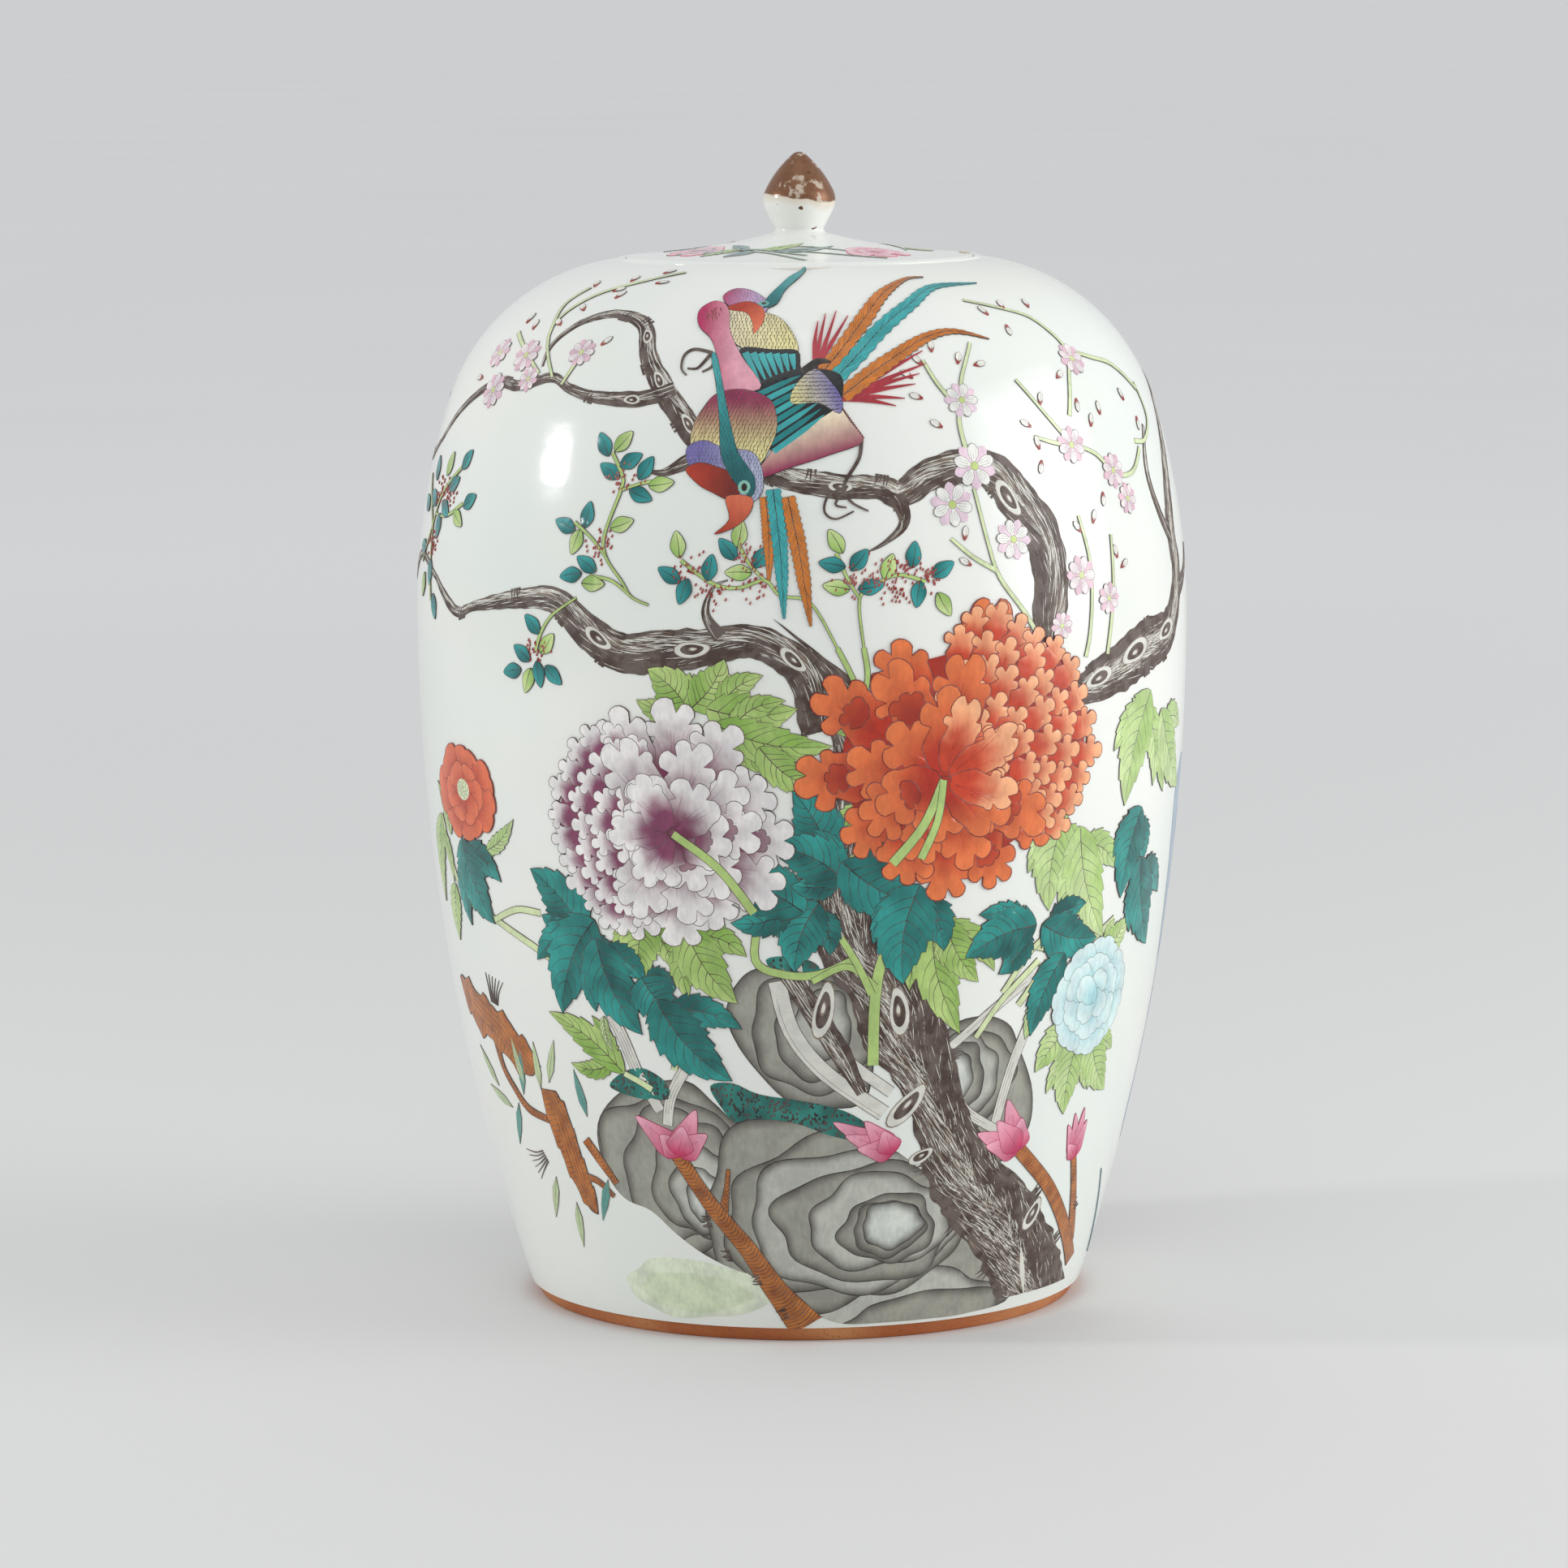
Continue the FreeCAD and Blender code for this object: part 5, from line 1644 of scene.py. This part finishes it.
farBark = Painting("far_branches", jar, 1, grid=2.4)
for path, lit, marks in (
        ([(158, 256, 3), (176, 262, 5), (200, 258, 6), (226, 264, 6), (252, 256, 5), (274, 260, 3.4),
          (292, 250, 1.6)], (0.3, 0.4),
         [(0.2, 0.1), (0.35, 1), (0.5, -1), (0.6, 0.0), (0.75, 1)]),
        ([(226, 264, 5), (238, 274, 3.4), (256, 278, 2), (270, 284, 1)], (0.3, 0.4), []),
        ([(529, 246, 1.6), (510, 240, 3), (488, 246, 4.4), (462, 240, 4.6), (440, 246, 3.4),
          (420, 240, 1.6)], (0.3, 0.4),
         [(0.3, 0.0), (0.45, 1), (0.6, -1)]),
        ([(546, 209, 1.6), (528, 214, 2.6), (506, 206, 3.4), (482, 210, 3.2), (462, 200, 1.8),
          (450, 190, 0.8)], (0.2, 0.4),
         [(0.4, 1), (0.6, -1)]),
        ([(248, 40, 14), (252, 64, 11), (246, 88, 9), (256, 112, 8), (252, 136, 7), (262, 160, 6),
          (256, 186, 5), (240, 206, 4), (226, 222, 2.4), (220, 236, 1)], (-0.3, 0.45),
          [(0.15, 0.1), (0.32, 0.0), (0.5, 1), (0.6, -1), (0.75, 0.1), (0.85, 1)])):
    limb(farBark, *edgesOf(farBark, path), lit, 0.8, marks)
farBark.fire("jar")

farBlossom = Painting("far_blossom", jar, 3, grid=2.0)
for twig in ([(200, 258), (206, 244), (202, 230), (208, 218)], [(252, 256), (262, 244), (260, 230)],
             [(226, 222), (214, 214), (204, 212)],
             [(462, 240), (456, 228), (460, 216)], [(488, 246), (494, 262), (488, 276)],
             [(440, 246), (430, 258), (418, 264)]):
    tube(farBlossom, twig, 0.75, stalkPale, "grey", 1.2, 0.12)
for x, s, size, turn in ((204, 246, 1, 0), (203, 231, 0.9, 30), (262, 243, 1, 10), (240, 275, 0.9, 50),
                         (215, 215, 0.9, 20), (458, 228, 1, 0), (492, 263, 0.95, 40), (430, 257, 0.9, 10),
                         (476, 250, 0.8, 20), (222, 238, 0.9, 5)):
    blossom(farBlossom, (x, s), size, turn, pinkLook)
for x, s, heading in ((208, 217, 10), (260, 229, 190), (199, 222, -60), (268, 236, 60), (256, 280, 20),
                      (204, 211, -90), (460, 215, 180), (488, 277, 0), (418, 265, -80), (500, 256, 60),
                      (450, 222, -60), (272, 286, 40), (424, 250, 200)):
    bud(farBlossom, (x, s), heading)
farBlossom.fire("jar")

farStems = Painting("far_stems", jar, 2)
for path, width, fill in (([(296, 148), (288, 130), (284, 108), (290, 84), (300, 58)], 2.2, stalkGreen),
                          ([(286, 112), (304, 106), (322, 108)], 1.7, stalkGreen),
                          ([(288, 96), (272, 96), (262, 102)], 1.6, stalkGreen),
                          ([(400, 140), (392, 116), (376, 96), (356, 74), (344, 52)], 1.8, stalkPale),
                          ([(384, 106), (400, 102), (416, 106)], 1.6, stalkPale)):
    tube(farStems, path, width, fill, "sepia", width * 1.3)
coral(farStems, [(352, 48, 4), (362, 38, 4), (374, 28, 4.4), (392, 10, 6)])
sheath(farStems, (352, 48), [(342, 58), (348, 62), (356, 60), (360, 54)], 7)
farStems.fire("jar")
farGreen = Painting("far_green_leaves", jar, 3)
for base, tip, width, sides in (((300, 132), (318, 118), 13, (0.6, 0.6)),
                                ((282, 120), (266, 108), 12, (0.6, 0.6)),
                                ((290, 186), (274, 194), 12, (0.6, 0.6)),
                                ((392, 118), (408, 128), 11, (0.6, 0.5)),
                                ((360, 78), (342, 84), 11, (0.5, 0.6)),
                                ((206, 90), (220, 70), 12, (0.6, 0.6)),
                                ((198, 100), (188, 122), 12, (0.6, 0.6))):
    leafGroup(farGreen, base, tip, width, green if base[0] < 350 else palegreen, sides)
farGreen.fire("jar")
farTeal = Painting("far_teal_leaves", jar, 4)
for base, tip, width, sides in (((312, 108), (334, 98), 15, (0.6, 0.6)),
                                ((286, 100), (262, 88), 15, (0.6, 0.6)),
                                ((290, 84), (312, 70), 14, (0.6, 0.5)),
                                ((396, 104), (418, 94), 14, (0.5, 0.6)),
                                ((376, 94), (392, 78), 13, (0.6, 0.5)),
                                ((200, 96), (220, 108), 14, (0.6, 0.6))):
    leafGroup(farTeal, base, tip, width, teal, sides)
farTeal.fire("jar")
farSingle = Painting("far_single_flower", jar, 5)
roundFlower(farSingle, (402, 150), (17, 14), redFlower,
            ((7, 1.0, 14, 2, 0.2), (6, 0.66, 10, 2, 0.5), (4, 0.4, 6, 2, 0.1)))
farSingle.fire("jar")
print("far side ready")


# spray on the lid

spray = Painting("lid_spray", lid, 1, grid=1.2)
lidSlate = {"dark": srgb(96, 132, 136), "light": srgb(170, 196, 194), "ink": "grey", "line": 0.14, "teeth": 0}
lidPink = {"base": srgb(222, 120, 150), "tip": srgb(240, 206, 212), "from": 0.1, "to": 0.9,
           "ink": srgb(206, 90, 120),
           "line": 0.2, "hairs": 2, "hair": srgb(214, 110, 140)}
for path in ([(-30, 24), (-16, 22), (-6, 17), (2, 9)], [(-8, 30), (6, 30), (20, 26), (32, 20)],
             [(-30, 26), (-10, 26), (14, 20), (30, 10)],
             [(60, 20), (90, 26), (120, 22)], [(150, 16), (180, 24), (214, 20)],
             [(250, 20), (280, 26), (306, 18)]):
    tube(spray, path, 0.7, srgb(150, 178, 150), "grey", 0.9, 0.1)
for base, tip, width in (((-34, 22), (-62, 12), 6), ((-38, 22), (-78, 18), 5), ((-30, 24), (-48, 30), 5),
                         ((-22, 23), (-30, 14), 5), ((100, 26), (124, 34), 5), ((180, 24), (206, 32), 6),
                         ((190, 22), (220, 12), 5), ((290, 24), (320, 30), 5)):
    leaf(spray, base, tip, width, lidSlate, 0.1, 4)
for base, tip, width in (((-20, 26), (-2, 34), 4.5), ((70, 22), (88, 14), 5), ((270, 26), (262, 14), 5)):
    leaf(spray, base, tip, width, palegreen, 0.1, 3)
for centre, radii in (((36, 20), (10, 8)), ((160, 22), (10, 8)), ((246, 20), (10, 8))):
    roundFlower(spray, centre, radii, lidPink, ((6, 1.0, 7.5, 3, 0.2), (5, 0.62, 5, 2, 0.6)))
spray.stroke([(-36, 25), (-30, 24), (-25, 25)], 0.4, 0.2, "ink", 0.9)
spray.lay(wobbly(lid, (82, 4.5), (4, 1.4), 1.0), srgb(196, 176, 142))
spray.fire("lid")
print("lid ready")


# stage, light and camera

stage = {
    "floorRadius": 400.0,
    "air": srgb(222, 223, 225),
    "airStrength": 0.92,
}


def floorMaterial():
    recipe = Recipe("studio_sweep_painted_light")
    place = recipe.place()
    drift = recipe.noise(place, 1.3, 2.0)
    near = recipe.node("ShaderNodeVectorMath", {"operation": "LENGTH"}, {0: place}, "Value")
    colour = recipe.mix(drift, srgb(242, 242, 242), srgb(246, 246, 245))
    # painted light and shade: the floor is coloured darker within 0.3 m of the jar and brighter out to 2.6 m,
    # standing in for how the studio light falls across the sweep, not a change in the floor's own colour
    colour = recipe.mix(recipe.between(near, 0.3, 2.6), srgb(222, 222, 221), colour)
    return recipe.finish(Base_Color=colour, Roughness=0.85, Specular_IOR_Level=0.15)


def studio():
    count = 96
    rings = [0.0, 0.3, 1.0, 3.0, 10.0, 50.0, stage["floorRadius"]]
    vertices = [(0, 0, 0)]
    for radius in rings[1:]:
        vertices += [(radius * math.cos(2 * math.pi * i / count),
                      radius * math.sin(2 * math.pi * i / count), 0)
                     for i in range(count)]
    faces = [(0, 1 + i, 1 + (i + 1) % count) for i in range(count)]
    for ring in range(len(rings) - 2):
        a, b = 1 + ring * count, 1 + (ring + 1) * count
        faces += [(a + i, b + i, b + (i + 1) % count, a + (i + 1) % count) for i in range(count)]
    floor = meshPiece("studio_floor", vertices, faces, None, floorMaterial())
    world = bpy.data.worlds.new("studio_air")
    bpy.context.scene.world = world
    world.use_nodes = True
    air = world.node_tree.nodes["Background"]
    air.inputs["Color"].default_value = stage["air"]
    air.inputs["Strength"].default_value = stage["airStrength"]


def softBox(name, place, target, size, power, colour=(1, 1, 1)):
    light = bpy.data.lights.new(name, "AREA")
    light.shape = "RECTANGLE"
    light.size, light.size_y = size
    light.energy = power
    light.color = colour
    box = bpy.data.objects.new(name, light)
    box.location = place
    box.rotation_euler = (Vector(target) - Vector(place)).to_track_quat("-Z", "Y").to_euler()
    bpy.context.scene.collection.objects.link(box)


view = {
    "place": (-0.0053, -1.715, 0.3673),
    "target": (-0.0053, 0, 0.143),
    "lens": 141.15,
    "roll": -0.37,
}


def camera():
    made = bpy.data.cameras.new("view")
    made.lens = view["lens"]
    made.sensor_width = 36
    made.clip_end = 900
    holder = bpy.data.objects.new("view", made)
    holder.location = view["place"]
    aim = (Vector(view["target"]) - Vector(view["place"])).to_track_quat("-Z", "Y")
    holder.rotation_euler = (aim @ Quaternion((0, 0, 1), math.radians(view["roll"]))).to_euler()
    bpy.context.scene.collection.objects.link(holder)
    bpy.context.scene.camera = holder


studio()
softBox("key", (-1.44, -0.2, 0.66), (0, 0, 0.2), (0.15, 0.1), 5)
for number, width in enumerate((0.6, 0.9, 1.2, 1.5)):
    softBox("side_%d" % number, (1.6 + number * 0.01, -0.3, 0.62), (0, 0, 0.15), (width, width * 1.05),
            1.6 + 1.5 * number)
softBox("top", (-0.2, -0.9, 2.6), (0, 0, 0.1), (1.6, 1.6), 5)
camera()
bpy.context.scene.view_settings.view_transform = "Standard"
print("stage ready")
